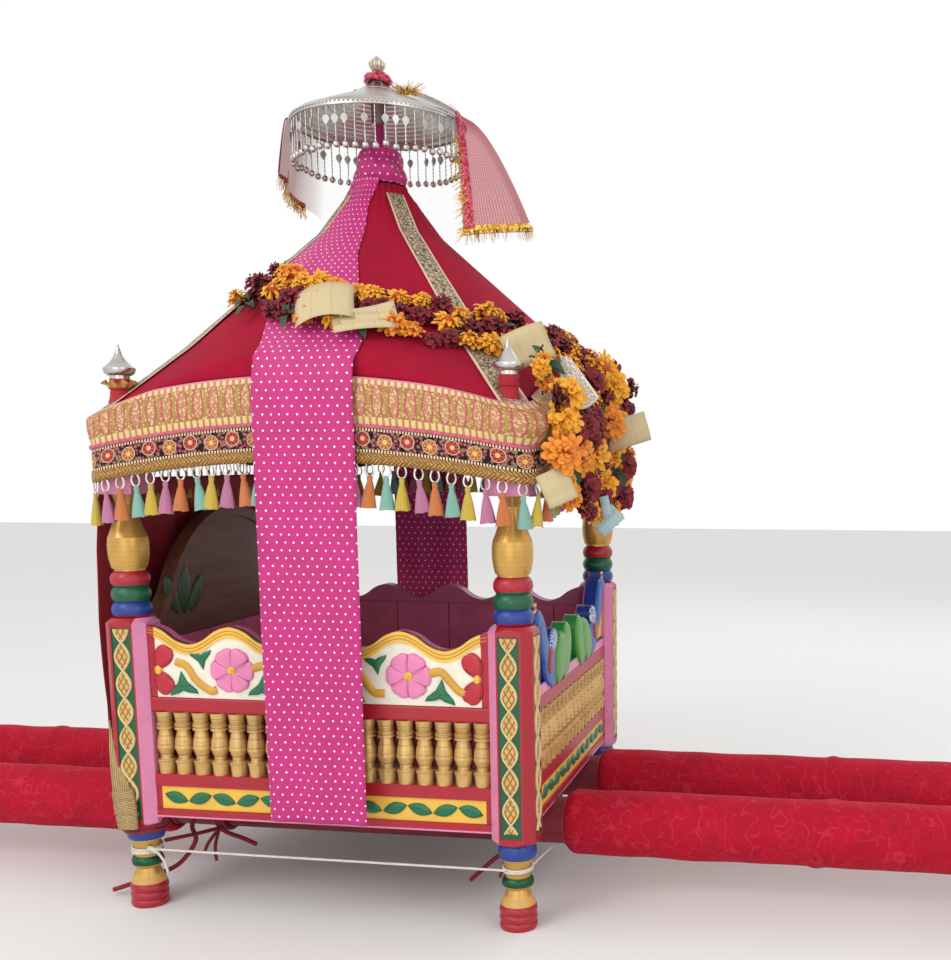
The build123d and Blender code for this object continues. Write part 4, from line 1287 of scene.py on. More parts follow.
# %% [markdown]
# ## Parasol dressing
# Fine chains hang close together from the rim, some with a beaten leaf, each with a round bead.
# Each chain is made at the middle, and is then turned out to its place on the rim.

# %% Chains of the parasol
CHAINS = 56
CHAIN_AT = 0.1285
RIM_Z = 1.15
random.seed(5)


def ball(radius, centre, count=8, rings=5):
    """A small bead."""
    rows = []
    for i in range(rings + 1):
        swing = pi * i / rings
        height = -radius * cos(swing)
        rows.append(ring(max(radius * sin(swing), radius * 0.03), height, count))
    work = Work().grid(rows, round_way=True)
    return Work().take(work, Matrix.Translation(centre))


leaf_outline = [(0, 0), (0.0034, -0.0022), (0.0052, -0.006), (0.0036, -0.01), (0, -0.015),
                (-0.0036, -0.01), (-0.0052, -0.006), (-0.0034, -0.0022)]
leaf_plate = Work()
leaf_plate.cap([(x, -0.0005, z) for x, z in leaf_outline])
leaf_plate.cap([(x, 0.0005, z) for x, z in leaf_outline[::-1]])
chains = Work()
for i in range(CHAINS):
    turn = tau * i / CHAINS
    length = 0.052 + uniform(-0.002, 0.002)
    links = [(0.0013 if k % 2 else 0.0006, -length * k / 18) for k in range(19)]
    chain = Work().grid([ring(radius, height, 5) for radius, height in links[::-1]], round_way=True)
    chain.take(ball(0.0052, (0, 0, -length - 0.003)))
    if i % 2 == 0 or i % 5 == 0:
        twist = Matrix.Rotation(uniform(-0.5, 0.5), 4, "Z")
        chain.take(leaf_plate, Matrix.Translation((0, -0.0022, -0.013)) @ twist)
    chains.take(chain, Matrix.Rotation(turn, 4, "Z") @ Matrix.Translation((0, -CHAIN_AT, RIM_Z)))
for i in range(120):
    turn = tau * i / 120
    on_rim = Matrix.Rotation(turn, 4, "Z") @ Matrix.Translation((0, -0.1318, RIM_Z + 0.0045))
    chains.take(ball(0.0019, (0, 0, 0), 6, 3), on_rim)
curtain = chains.make("parasol_chains", [PLAIN_SILVER], "parasol")
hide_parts("umbrella_pendants")
print("chains", len(curtain.data.polygons), "faces")

# %% [markdown]
# ## Net of the parasol
# Over the back lies a red net that is bound on below the bud. It is see-through between its threads,
# and only its two ends are gathered and look dense. Its shape is a turn round the parasol and a
# share of the way from the binding to the hem.

# %% Net of the parasol
VEIL_FROM = -15.0
VEIL_TO = 195.0
NET_WIDE = 0.62
# Rows hold: degrees round from the right, reach of the hem, height of the hem
VEIL_HEM = [(-15, 0.152, 0.98), (0, 0.222, 0.99), (15, 0.236, 1.004), (45, 0.225, 1.012),
            (90, 0.198, 1.022), (140, 0.176, 1.03), (180, 0.157, 1.07), (195, 0.15, 1.076)]
# Where the net passes the rim: share of its length, distance from the middle, height
OVER_RIM = (0.4, 0.137, 1.159)
# How the net lies on the cone, in rows of the same three
VEIL_SEAT = [(0.0, 0.021, 1.211), (0.08, 0.04, 1.1985), (0.25, 0.098, 1.1745), (0.34, 0.124, 1.165),
             OVER_RIM]


def net_finish():
    """Sheer red net: clear between its threads, and dense only where its two ends are gathered."""
    f = Finish("net", rough=0.7)
    lie, u, v = f.lie()
    thread = f.under(f.least(f.apart(u, 0.0024), f.apart(v, 0.0024)), 0.00028)
    f.colour(f.mix(f.noise(30.0, 2.0, lie), "9c1228", "b4223a"))
    gathered = f.step(f.size(f.minus(u, NET_WIDE / 2)), 0.195, 0.035)
    cover = f.times_plus(thread, 0.3, 0.56)
    f.surface("Alpha", f.times_plus(gathered, cover, 0.035))
    return f


def sequin_finish(name, first, second, metal=0.8):
    """Small bright scales that catch the light one by one."""
    f = Finish(name, rough=0.25, metal=metal)
    at = f.place()[0]
    scales = f.cells(330.0, at)
    f.colour(f.mix(f.step(scales.outputs["Color"], 0.5), first, second))
    f.bump(scales.outputs["Distance"], 0.0012, 1.0)
    return f


def veil_point(degrees, share, out=0.0):
    """A point of the net: share 0 at the wrap and 1 at the hem."""
    rim_share, rim_reach, rim_z = OVER_RIM
    turn = radians(degrees)
    reach, foot = blend_rows(VEIL_HEM, degrees)
    wave = sin(turn * 11 + 0.6) * 0.006 + sin(turn * 23) * 0.002
    if share < rim_share:
        radius, z = blend_rows(VEIL_SEAT, share)
        z += 0.011 * sin(pi * share / rim_share) * max(0.0, cos(turn)) ** 2
    else:
        down = (share - rim_share) / (1 - rim_share)
        spread = 0.62 * down + 0.38 * down ** 0.5
        radius = rim_reach + (reach - rim_reach) * spread + wave * down
        z = rim_z - (rim_z - foot) * down ** 1.25
    return spot(turn, radius + out, z + out)


NET = net_finish()
COLUMNS_NET = 96
ROWS_NET = 30
turns = [VEIL_FROM + (VEIL_TO - VEIL_FROM) * c / COLUMNS_NET for c in range(COLUMNS_NET + 1)]
shares = [r / ROWS_NET for r in range(ROWS_NET + 1)]
rows = [[veil_point(turn, share) for turn in turns] for share in shares]
lies = [[(NET_WIDE * c / COLUMNS_NET, 0.3 * share) for c in range(COLUMNS_NET + 1)]
        for share in shares]
net = Work().grid(rows, lies=lies).make("parasol_net", [NET], "parasol")
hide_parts("veil")
print("net", round(cloth_area(net), 4), "m2")

# %% [markdown]
# ## Edges of the net
# A ribbon of red sequins runs down both ends of the net, and strips of gold tinsel are sewn to its
# hem. Each strip is one thin face, thrown a little out of line, because tinsel never hangs straight.

# %% Sequins and tinsel
RED_SEQUIN = sequin_finish("red sequins", "a81c34", "c4566a", 0.45)
TINSEL = sequin_finish("gold tinsel", "e6bd5c", "b98a35", 0.85)
trim = Work()
for start, toward in ((VEIL_FROM, 1), (VEIL_TO, -1)):
    rows = []
    for r in range(45):
        share = 0.04 + 0.94 * r / 44
        reach = veil_point(start, share).xy.length
        step = math.degrees(0.008 / max(reach, 0.03)) * toward
        rows.append([veil_point(start + step * k / 3, share, 0.0022) for k in range(4)])
    trim.grid(rows, 0)
random.seed(21)


def scatter(*spans):
    """A small random shift, within a span for each axis."""
    return Vector([uniform(low, high) for low, high in spans])


def tinsel(work, root, tip, wide, kind=0):
    """One flat strip of tinsel, narrower at its tip."""
    work.cap([root - wide, root + wide, tip + wide * 0.6, tip - wide * 0.6], kind)


# The tinsel hem is sewn to the two gathered ends. Rows hold: from and to, in degrees
HEM_ENDS = [(VEIL_FROM, 30.0), (158.0, VEIL_TO)]
for start, end in HEM_ENDS:
    sewn = [start + (end - start) * c / 40 for c in range(41)]
    trim.grid([[veil_point(at, share, 0.0012) for share in (0.965, 1.0)] for at in sewn], 1)
for c in range(300):
    start, end = HEM_ENDS[c % 2]
    degrees = start + (end - start) * random.random()
    top = veil_point(degrees, 0.985, 0.0014)
    outward = Vector((cos(radians(degrees)), sin(radians(degrees)), 0))
    along = Vector((-outward.y, outward.x, 0))
    tip = top + along * uniform(-0.007, 0.007) + outward * uniform(-0.004, 0.006)
    tip.z -= uniform(0.012, 0.022)
    tinsel(trim, top, tip, along * 0.0009, 1)
for c in range(130):
    share = uniform(0.55, 1.0)
    top = veil_point(VEIL_FROM + uniform(-1, 2), share, 0.002)
    tip = top + scatter((-0.014, 0.004), (-0.012, 0.004), (-0.016, -0.004))
    tinsel(trim, top, tip, Vector((0, 0, 0.0009)), 1)
edging = trim.make("net_trim", [RED_SEQUIN, TINSEL], "parasol")
print("tinsel and sequins", len(edging.data.polygons), "faces")

# %% [markdown]
# ## Top of the parasol
# Sequinned ribbon is wound round the foot of the bud in three turns, and a tuft of tinsel is caught
# in the net beside it.

# %% Binding and tuft
bound = Work()
for k, (height, radius) in enumerate(((1.2185, 0.0185), (1.2225, 0.0165), (1.2262, 0.014))):
    route = []
    for i in range(33):
        turn = tau * i / 32
        wobble = 0.0012 * sin(turn * 3 + k * 2)
        route.append(spot(turn, radius + wobble, height + wobble * 0.5))
    cord_work(route, 0.0036 - 0.0003 * k, 8, 0, bound)
binding = bound.make("bud_binding", [RED_SEQUIN], "parasol")
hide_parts("finial_wrap")
tuft = Work()
random.seed(8)
for c in range(90):
    root = Vector((0.056, -0.03, 1.189)) + scatter((-0.014, 0.014), (-0.004, 0.004), (-0.004, 0.006))
    tip = root + scatter((-0.014, 0.022), (-0.016, 0.002), (-0.004, 0.014))
    tinsel(tuft, root, tip, Vector((0, 0, 0.0009)) if c % 2 else Vector((0.0009, 0, 0)))
clump = tuft.make("tinsel_tuft", [TINSEL], "parasol")
print("parasol dressed")

# %% [markdown]
# ## Carving
# The carver cut flowers, leaves and scrolls a few millimetres deep, and the painter picked them
# out. Low relief is one idea: an outline, drawn in and raised in a few steps. Each outline lies on
# the XY plane with Z outwards, and a matrix sets it on a wall.

# %% Relief and its places


def oval_outline(across, up, count, middle=(0.0, 0.0)):
    """Points of an oval."""
    turns = [tau * i / count for i in range(count)]
    return [(middle[0] + across * cos(a), middle[1] + up * sin(a)) for a in turns]


def leaf_outline_points(length, width):
    """A leaf with a point at both ends, along X."""
    upper = [(length * (i / 10 - 0.5), width * sin(pi * i / 10) ** 0.8) for i in range(11)]
    return [*upper[::-1], *[(x, -y) for x, y in upper[1:-1]]]


def relief(outline, height, kind=0, crown=0.35):
    """A low rounded form over an outline."""
    middle = Vector((sum(p[0] for p in outline), sum(p[1] for p in outline))) / len(outline)
    rows = []
    lies = []
    for share, rise in ((1.0, 0.0), (0.98, 0.5), (0.86, 0.84), (crown, 1.0)):
        row = [middle + (Vector(point) - middle) * share for point in outline]
        rows.append([Vector((p.x, p.y, height * rise)) for p in row])
        lies.append([(p.x, p.y) for p in row])
    work = Work().grid(rows, kind, round_way=True, lies=lies)
    first = len(work.points) - len(outline)
    work.faces.append(tuple(range(first, first + len(outline))))
    work.kinds.append(kind)
    return work


def smooth_route(points, steps=8):
    """A smooth line through points."""
    points = [Vector(point) for point in points]
    padded = [points[0] * 2 - points[1], *points, points[-1] * 2 - points[-2]]
    route = []
    for a, b, c, d in zip(padded, padded[1:], padded[2:], padded[3:]):
        for i in range(steps):
            t = i / steps
            route.append(0.5 * ((2 * b) + (c - a) * t + (2 * a - 5 * b + 4 * c - d) * t * t
                                + (3 * b - a - 3 * c + d) * t ** 3))
    route.append(points[-1])
    return route


def strip_relief(route, half, height, kind=0):
    """A raised strip along a route in the XY plane."""
    rows = []
    for i, point in enumerate(route):
        ahead = (route[min(i + 1, len(route) - 1)] - route[max(i - 1, 0)]).normalized()
        across = Vector((-ahead.y, ahead.x))
        wide = half[i] if isinstance(half, list) else half
        rows.append([Vector((*(point + across * wide * share), rise))
                     for share, rise in ((-1, 0.0), (-0.6, height), (0.6, height), (1, 0.0))])
    return Work().grid([row[::-1] for row in rows], kind)


print("points in a leaf's outline", len(leaf_outline_points(1, 0.2)))

# %% [markdown]
# A matrix stands each relief upright and carries it to its side of the box. The cuts get painted
# shade: veins slant away from a leaf's middle, and spokes run out from a flower's heart.

# %% Set and paint the carving


def on_wall(side, along, height, depth, turn=0.0):
    """Where a relief goes: on a side of the box, at a distance from its middle and a height."""
    stand = Matrix.Rotation(QUARTER * side, 4, "Z") @ Matrix.Translation((along, -depth, height))
    return stand @ Matrix.Rotation(QUARTER, 4, "X") @ Matrix.Rotation(turn, 4, "Z")


def carved_finish(name, colour, dark, veins=0.0, spokes=0):
    """Painted carving, with painted shade in its cuts and between its petals."""
    f = Finish(name, rough=0.38)
    lie, u, v = f.lie()
    at = f.place()[0]
    shade = colour
    # Veins and spokes are painted shade in cuts that the relief itself does not have
    if veins:
        slant = f.plus(f.times(u, 1.0), f.times(f.size(v), 0.9))
        cut = f.sine(f.times(slant, tau / veins))
        side_vein_shade = f.step(cut, 0.72, 0.2)
        middle = f.under(f.size(v), 0.0005)
        shade = f.mix(f.times(f.most(side_vein_shade, middle), 0.55), colour, dark)
    if spokes:
        turn = f.math("ARCTAN2", v, u)
        span = f.span(u, v)
        cut = f.step(f.sine(f.times(turn, spokes)), 0.86, 0.1)
        near = f.under(span, 0.024)
        shade = f.mix(f.times(f.times(cut, near), 0.4), colour, dark)
        # Dark lines between the petals are painted shade where they meet
        between = f.under(f.math("COSINE", f.times(turn, 6.0)), -0.955)
        shade = f.mix(f.times(between, 0.8), shade, dark)
    f.colour(worn(f, shade, 0.2))
    f.bump(f.noise(140.0, 3.0, at), 0.0005, 0.5)
    return f


CARVE_PINK = carved_finish("carved pink", "e283b0", "b0447c", spokes=42)
CARVE_RED = carved_finish("carved red", "b81e30", "7d101f", spokes=30)
CARVE_YELLOW = carved_finish("carved yellow", YELLOW, "b9781f", veins=0.011)
CARVE_GREEN = carved_finish("carved green", "12714a", "08301f", veins=0.0052)
CARVE_BRIGHT = carved_finish("carved tail green", "58a03e", "2a6a2c", veins=0.0062)
CARVE_BLUE = carved_finish("carved blue", "2257a8", "173a78", veins=0.009)
print("carving finishes ready")

# %% [markdown]
# ## Flowers on the front and rear crests
# Under each peak of the wave stands a pink six-petalled flower with a yellow heart. A yellow
# scroll runs from flower to flower with a green leaf above and below, and half a red flower closes
# each end. The pattern repeats with the wave.

# %% Flowers for the crests
CREST_FACE = 0.296
FLOWER_Z = 0.355
WAVE = 0.1245
FLOWER_PITCH = 0.129
FLOWER_SHIFT = 0.0065
CREST_END = 0.2375


def petal_outline(reach, half, turn):
    """A broad petal from the middle outwards, notched at its tip."""
    points = []
    for i in range(20):
        a = tau * i / 20
        notch = 1 - 0.1 * math.exp(-((a if a < pi else a - tau) / 0.3) ** 2)
        out = reach * (0.54 + 0.46 * notch * cos(a))
        across = half * sin(a) * (1.0 + 0.18 * cos(a))
        points.append((out * cos(turn) - across * sin(turn), out * sin(turn) + across * cos(turn)))
    return points


def flower_work():
    """Six petals and a heart."""
    work = Work()
    for k in range(6):
        turn = pi / 3 * k
        petal = petal_outline(0.0335, 0.0152, turn)
        work.take(relief(petal, 0.0034 + 0.0018 * (k % 2), 0, 0.5))
    work.take(relief(oval_outline(0.0066, 0.0066, 16), 0.0062, 1))
    return work


def half_flower_work(toward):
    """Two red petals and half a heart, against an end strip."""
    work = Work()
    for up in (-1, 1):
        turn = up * radians(60)
        petal = [(toward * x, y) for x, y in petal_outline(0.04, 0.014, turn)]
        work.take(relief(petal if toward > 0 else petal[::-1], 0.0034, 2))
    work.take(relief(oval_outline(0.0052, 0.0066, 14, (toward * 0.004, 0)), 0.006, 1))
    return work


print("faces in a carved flower", len(flower_work().faces))

# %% [markdown]
# Scrolls are raised strips along a smooth line, and the arrow-shaped leaves are one outline at two
# sizes. The two brown lines follow the wave of the moulding.

# %% Carve the crests


def scroll(points):
    """A raised yellow stem through points."""
    return strip_relief(smooth_route(points), 0.006, 0.003, 1)


arrow = [(0, 0.0165), (-0.0055, 0.004), (-0.015, -0.005), (-0.017, -0.01), (-0.006, -0.008),
         (0, -0.005), (0.006, -0.008), (0.017, -0.01), (0.015, -0.005), (0.0055, 0.004)]
FLOWER = flower_work()
ARROW_LEAF = relief(arrow, 0.003, 3)
LOWER_LEAF = Work().take(ARROW_LEAF, Matrix.Scale(1.28, 4))
SCROLL = scroll([(0.031, 0.004), (0.048, 0.007), (0.064, -0.006), (0.078, -0.024), (0.094, -0.026)])
END_SCROLL = scroll([(0.03, 0.01), (0.046, 0.004), (0.06, -0.016), (0.08, -0.03), (0.09, -0.028)])
SHORT_SCROLL = scroll([(0.031, 0.004), (0.046, 0.006), (0.06, -0.008), (0.072, -0.02), (0.084, -0.021)])
carving = Work()
for side in (0, 2):
    for k in (-1, 0, 1):
        here = k * FLOWER_PITCH + FLOWER_SHIFT
        carving.take(FLOWER, on_wall(side, here, FLOWER_Z, CREST_FACE))
        above = on_wall(side, here - 0.046, FLOWER_Z + 0.016, CREST_FACE, pi + 0.15)
        carving.take(ARROW_LEAF, above)
        carving.take(LOWER_LEAF, on_wall(side, here + 0.045, FLOWER_Z - 0.024, CREST_FACE, -0.1))
        carving.take(SCROLL if k < 1 else SHORT_SCROLL, on_wall(side, here, FLOWER_Z, CREST_FACE))
    carving.take(half_flower_work(1), on_wall(side, -CREST_END, FLOWER_Z - 0.002, CREST_FACE))
    carving.take(half_flower_work(-1), on_wall(side, CREST_END, FLOWER_Z - 0.002, CREST_FACE))
    carving.take(END_SCROLL, on_wall(side, -CREST_END, FLOWER_Z, CREST_FACE))
    carving.take(LOWER_LEAF, on_wall(side, -0.198, FLOWER_Z - 0.024, CREST_FACE, 0.1))
    for line in (0.0052, 0.0098):
        along = [-0.247 + 0.494 * i / 120 for i in range(121)]
        route = [Vector((x, 0.403 - line + 0.013 * cos(tau * x / WAVE))) for x in along]
        carving.take(strip_relief(route, 0.0007, 0.0009, 4), on_wall(side, 0, 0, 0.298))
BROWN_LINE = carved_finish("brown line", "bd8a38", BROWN)
carved = carving.make("crest_carving", [CARVE_PINK, CARVE_YELLOW, CARVE_RED, CARVE_GREEN, BROWN_LINE])
print("crest carving", len(carved.data.polygons), "faces")

# %% [markdown]
# ## Leaf strips
# In the sunk yellow strip under the balusters, green leaves lean left and right in turn, tip to
# tip, like a running vine. Each leaf has a middle vein and side veins.

# %% Carve the leaf strips
LEAF_PITCH = 0.0365
leaf_shape = relief(leaf_outline_points(0.0365, 0.0086), 0.0028, 0)
strips = Work()
for side in range(4):
    for k in range(-6, 7):
        lean = 0.27 if k % 2 else -0.27
        strips.take(leaf_shape, on_wall(side, k * LEAF_PITCH, 0.1672, 0.295, lean))
leaves = strips.make("leaf_strip_carving", [CARVE_GREEN])
print("leaf strips", len(leaves.data.polygons), "faces")

# %% [markdown]
# ## Lattice in the post panels
# Each sunk panel holds two gilded strands that cross again and again, and the lens between two
# crossings is filled with plaited gold. The panel starts and ends with half a lens.

# %% Carve the post lattices
LENS = 0.0395
LENS_HALF = 0.0104
LATTICE_TOP = 0.412
LATTICE_FOOT = 0.143


def plait_finish():
    """Plaited gold: strips that cross on both slants, with painted shade in the lines between them."""
    f = Finish("plaited gold", rough=0.4, metal=0.1)
    lie, u, v = f.lie()
    first = f.apart(f.plus(u, f.times(v, 0.6)), 0.0086)
    second = f.apart(f.minus(u, f.times(v, 0.6)), 0.0086)
    lines = f.least(first, second)
    # The sunk lines between the strips are darkened as painted shade
    cut = f.minus(1.0, f.step(lines, 0.0009, 0.0004))
    colour = f.mix(f.times(cut, 0.75), "d6ac62", "7a4a1c")
    f.colour(worn(f, colour, 0.25))
    f.bump(f.times(cut, -1.0), 0.0012, 0.8)
    return f


def lens_outline(foot, head):
    """The space between the two strands, from one height to another."""
    steps = 12
    right = []
    for i in range(steps + 1):
        z = foot + (head - foot) * i / steps
        half = LENS_HALF * abs(cos(pi * (LATTICE_TOP - z) / LENS))
        right.append((max(half, 0.0006), z))
    return right + [(-x, z) for x, z in reversed(right)]


lattice = Work()
crossings = [LATTICE_TOP - LENS * (k + 0.5) for k in range(7)]
edges = [LATTICE_TOP, *[z for z in crossings if z > LATTICE_FOOT], LATTICE_FOOT]
strand = [[], []]
for i in range(141):
    z = LATTICE_TOP + (LATTICE_FOOT - LATTICE_TOP) * i / 140
    x = LENS_HALF * cos(pi * (LATTICE_TOP - z) / LENS)
    strand[0].append(Vector((x, z)))
    strand[1].append(Vector((-x, z)))
panel_work = Work()
for head, foot in zip(edges, edges[1:]):
    panel_work.take(relief(lens_outline(foot, head), 0.0018, 0, 0.5))
for route, height in zip(strand, (0.0034, 0.0029)):
    panel_work.take(strip_relief(route, 0.0014, height, 1))
for side in range(4):
    for along in (-POST_AT, POST_AT):
        lattice.take(panel_work, on_wall(side, along, 0, 0.3095))
PALE_GOLD = carved_finish("pale gold", "e0c48c", "9a6b2c")
plaits = lattice.make("post_lattice", [plait_finish(), PALE_GOLD])
print("lattice", len(plaits.data.polygons), "faces")

# %% [markdown]
# ## Peafowl on the right end
# The right end's board is cut out as two peafowl, back to back. Their necks are blue, the upper
# wing is blue with white scribbled feathers, the lower wing red, the tail bright ribbed green and
# the crown of the head a striped yellow tuft. A yellow wedge fills the corner beside each post.

# %% Carve the peafowl
BIRD_FACE = 0.296


def feather_finish(name, ground, line, scale):
    """Scribbled feathers: crooked lines over a ground colour."""
    f = Finish(name, rough=0.38)
    lie, u, v = f.lie()
    crooked = f.cells(scale, lie, "DISTANCE_TO_EDGE").outputs["Distance"]
    mark = f.under(crooked, 0.075)
    f.colour(worn(f, f.mix(mark, ground, line), 0.15))
    return f


FEATHER = feather_finish("white feathers", "2a5cab", "dfe4ec", 150.0)
RED_WING = feather_finish("red wing", "b02738", "5c1526", 130.0)
birds = Work()
# A bird in ovals. Rows hold: distance from the middle, height, half length, half width, tilt in
# degrees, how far it is raised, kind, depth of its ground
OVALS = [
    (0.152, 0.038, 0.046, 0.032, -38, 0.004, 0, BIRD_FACE),
    (0.196, 0.08, 0.048, 0.02, -62, 0.0055, 0, BIRD_FACE),
    (0.222, 0.112, 0.0165, 0.013, 0, 0.006, 0, BIRD_FACE),
    (0.052, 0.04, 0.044, 0.028, 66, 0.005, 3, BIRD_FACE),
    (0.092, 0.036, 0.042, 0.028, 48, 0.0065, 3, BIRD_FACE),
    (0.14, 0.07, 0.021, 0.016, 20, 0.0045, 1, 0.298),
    (0.158, 0.044, 0.021, 0.015, 70, 0.0045, 2, 0.298),
]
BAR = [(-0.0068, 0), (0.0068, 0), (0.0068, 0.0045), (-0.0068, 0.0045)]
for toward in (-1, 1):
    for along, up, half_long, half_tall, tilt, height, kind, depth in OVALS:
        shape = relief(oval_outline(half_long, half_tall, 24), height, kind)
        birds.take(shape, on_wall(1, toward * along, 0.314 + up, depth, -toward * radians(tilt)))
    for k in range(4):
        up = 0.4315 + 0.0045 * k
        bar = relief(BAR, 0.002, 4 if k % 2 else 5)
        birds.take(bar, on_wall(1, toward * 0.232, up, BIRD_FACE))
    wedge = [(0.2485, 0.33), (0.2485, 0.418), (0.24, 0.4), (0.224, 0.356), (0.206, 0.33)]
    wedge = [(toward * x, z) for x, z in wedge]
    birds.take(relief(wedge if toward > 0 else wedge[::-1], 0.0035, 4), on_wall(1, 0, 0, 0.2905))
BIRD_PAINTS = [CARVE_BLUE, FEATHER, RED_WING, CARVE_BRIGHT, CARVE_YELLOW, CARVE_RED]
peafowl = birds.make("peafowl_carving", BIRD_PAINTS)
print("peafowl", len(peafowl.data.polygons), "faces")

# %% [markdown]
# ## Headboard
# The tall board at the left end faces inwards. It carries pairs of long faded leaves, which are
# carved and set like those of the strips.

# %% Carve the headboard's inner side
board = Work()
# Rows hold: distance from the middle, height, lean from upright in radians, length
LEAVES = [(0.15, 0.452, 0.1, 0.08), (0.186, 0.446, -0.45, 0.07), (0.118, 0.442, 0.55, 0.066)]
for out, z, lean, size in LEAVES:
    for toward in (-1, 1):
        shape = relief(leaf_outline_points(size, size * 0.2), 0.003, 0)
        board.take(shape, on_wall(1, toward * out, z, -0.277, QUARTER + toward * lean))
FADED_GREEN = carved_finish("faded green", "2c5a3a", "14301e", veins=0.007)
headboard_leaves = board.make("headboard_carving", [FADED_GREEN])
print("carving done")

# %% [markdown]
# ## Flower heads
# The garland is marigolds, ragged yellow daisies and dark red heads threaded through their hearts,
# with leaves between. A head is rings of petals, each a small cupped strip. A few seeds of each
# kind are enough, because every copy is turned and tilted differently.

# %% Grow the flower heads
# Rings of a head. Rows hold: petals, reach, lift and half width as shares of the head's radius
MARIGOLD = [(15, 1.0, 0.08, 0.16), (14, 0.9, 0.34, 0.16), (11, 0.7, 0.56, 0.15),
            (8, 0.46, 0.7, 0.13), (4, 0.24, 0.78, 0.12)]
DAISY = [(13, 1.0, 0.12, 0.11), (12, 0.84, 0.34, 0.11), (8, 0.52, 0.5, 0.11)]
DARK_HEAD = [(9, 1.0, 0.08, 0.3), (8, 0.84, 0.34, 0.29), (6, 0.58, 0.58, 0.26), (3, 0.3, 0.72, 0.2)]
# Along a petal. Rows hold: share of its reach, of its half width, of its lift
PETAL = [(0.18, 0.35, 0.75), (0.55, 0.95, 1.05), (0.85, 1.0, 1.0), (1.0, 0.45, 0.9)]


def petal_finish(name, deep, main, light):
    """A petal: painted shade at its root, painted highlight at its tip, each a little different."""
    f = Finish(name, rough=0.65, Sheen_Weight=0.03)
    lie, along, chance = f.lie()
    # The darker root is painted shade deep in the head, and the lighter tip is painted highlight
    colour = f.mix(f.step(along, 0.35, 0.35), deep, main)
    colour = f.mix(f.times(f.step(along, 0.85, 0.2), 0.5), colour, light)
    colour = f.mix(f.times(chance, 0.35), colour, deep)
    f.colour(colour)
    return f


def bloom(seed, rings, kind, heart):
    """A head of radius 1 that faces +Z."""
    chance = random.Random(seed)
    work = Work().take(ball(0.4, (0, 0, 0.22), 10, 6), kind=heart)
    for count, reach, lift, wide in rings:
        start = chance.uniform(0, 6.28)
        for k in range(count):
            turn = start + tau * (k + chance.uniform(-0.28, 0.28)) / count
            length = reach * chance.uniform(0.76, 1.14)
            half = wide * chance.uniform(0.8, 1.2)
            rise = lift + chance.uniform(-0.13, 0.15)
            curl = chance.uniform(-0.16, 0.1)
            own = chance.random()
            out = Vector((cos(turn), sin(turn), 0))
            across = Vector((-out.y, out.x, 0))
            rows = []
            lies = []
            for share, width, up in PETAL:
                middle = out * length * share + Vector((0, 0, rise * up + curl * share ** 3))
                edge = Vector((0, 0, 0.1 * width * wide / 0.2))
                aside = across * half * width
                rows.append([middle - aside + edge, middle, middle + aside + edge])
                lies.append([(share, own)] * 3)
            work.grid(rows, kind, lies=lies)
    return work


def leaf_work():
    """A pointed leaf of length 1 along Y, arched, facing +Z."""
    rows = []
    lies = []
    for i in range(7):
        t = i / 6
        half = 0.2 * sin(pi * min(1.0, t * 0.96 + 0.02)) ** 0.8
        lift = 0.28 * sin(pi * t)
        rows.append([Vector((u * half, t, lift + 0.05 * abs(u))) for u in (1, 0, -1)])
        lies.append([(t, 0.3)] * 3)
    return Work().grid(rows, 3, lies=lies)


print("petals in a marigold", sum(ring_of[0] for ring_of in MARIGOLD))

# %% [markdown]
# Ten heads of four kinds are grown once. Setting one in place turns it to face outwards, spins it
# and tips it a little, so no two copies look alike.

# %% Set the flower heads
PETALS = [
    petal_finish("marigold orange", "b04a08", "ee8a1a", "f9b440"),
    petal_finish("daisy yellow", "c2700c", "efa51c", "f9c845"),
    petal_finish("dark red petals", "30040c", "800c1e", "ac1c2c"),
    petal_finish("dark leaf", "15281a", "2a4a2a", "4a6e3a"),
]
HEADS = {
    "O": [bloom(seed, MARIGOLD, 0, 0) for seed in (1, 2, 3)],
    "Y": [bloom(seed, MARIGOLD, 1, 1) for seed in (4, 5)],
    "S": [bloom(seed, DAISY, 1, 0) for seed in (6, 7)],
    "M": [bloom(seed, DARK_HEAD, 2, 2) for seed in (8, 9, 10)],
}
LEAF_BLADE = leaf_work()
random.seed(31)


def set_flower(work, kind, point, outward, width):
    """Put a head, or a pair of leaves for L, at a point so that it faces outward."""
    facing = outward.normalized().to_track_quat("Z", "Y").to_matrix().to_4x4()
    spin = Matrix.Rotation(uniform(0, 6.28), 4, "Z")
    tilt = Matrix.Rotation(uniform(-0.35, 0.35), 4, "X")
    place = Matrix.Translation(point) @ facing @ tilt @ spin
    if kind == "L":
        for turn in (0.0, 2.1, 3.9):
            blade = Matrix.Rotation(turn + uniform(-0.4, 0.4), 4, "Z")
            work.take(LEAF_BLADE, place @ blade @ Matrix.Scale(width * 0.62, 4))
    else:
        work.take(random.choice(HEADS[kind]), place @ Matrix.Scale(width / 2, 4))


print("head faces", {kind: len(heads[0].faces) for kind, heads in HEADS.items()})

# %% [markdown]
# ## Garland
# It starts high on the front slope, crosses the scarf and the hip, and is bunched over the right
# eave, where its two ends hang. On the slopes it lies flat, three heads wide, so three strings of
# letters say which head comes next: marigold, daisy, dark head or leaf.

# %% Thread the garland
# The string's line. Rows hold: degrees round from the front, height
STRING = [
    (-43, 0.898), (-36, 0.896), (-28, 0.888), (-16, 0.872), (-6, 0.864), (3, 0.855), (12, 0.847),
    (20, 0.846), (28, 0.84), (35, 0.831), (42, 0.823), (50, 0.823), (58, 0.827), (64, 0.82),
    (70, 0.806), (80, 0.805), (92, 0.803), (103, 0.796), (114, 0.782), (122, 0.77),
]
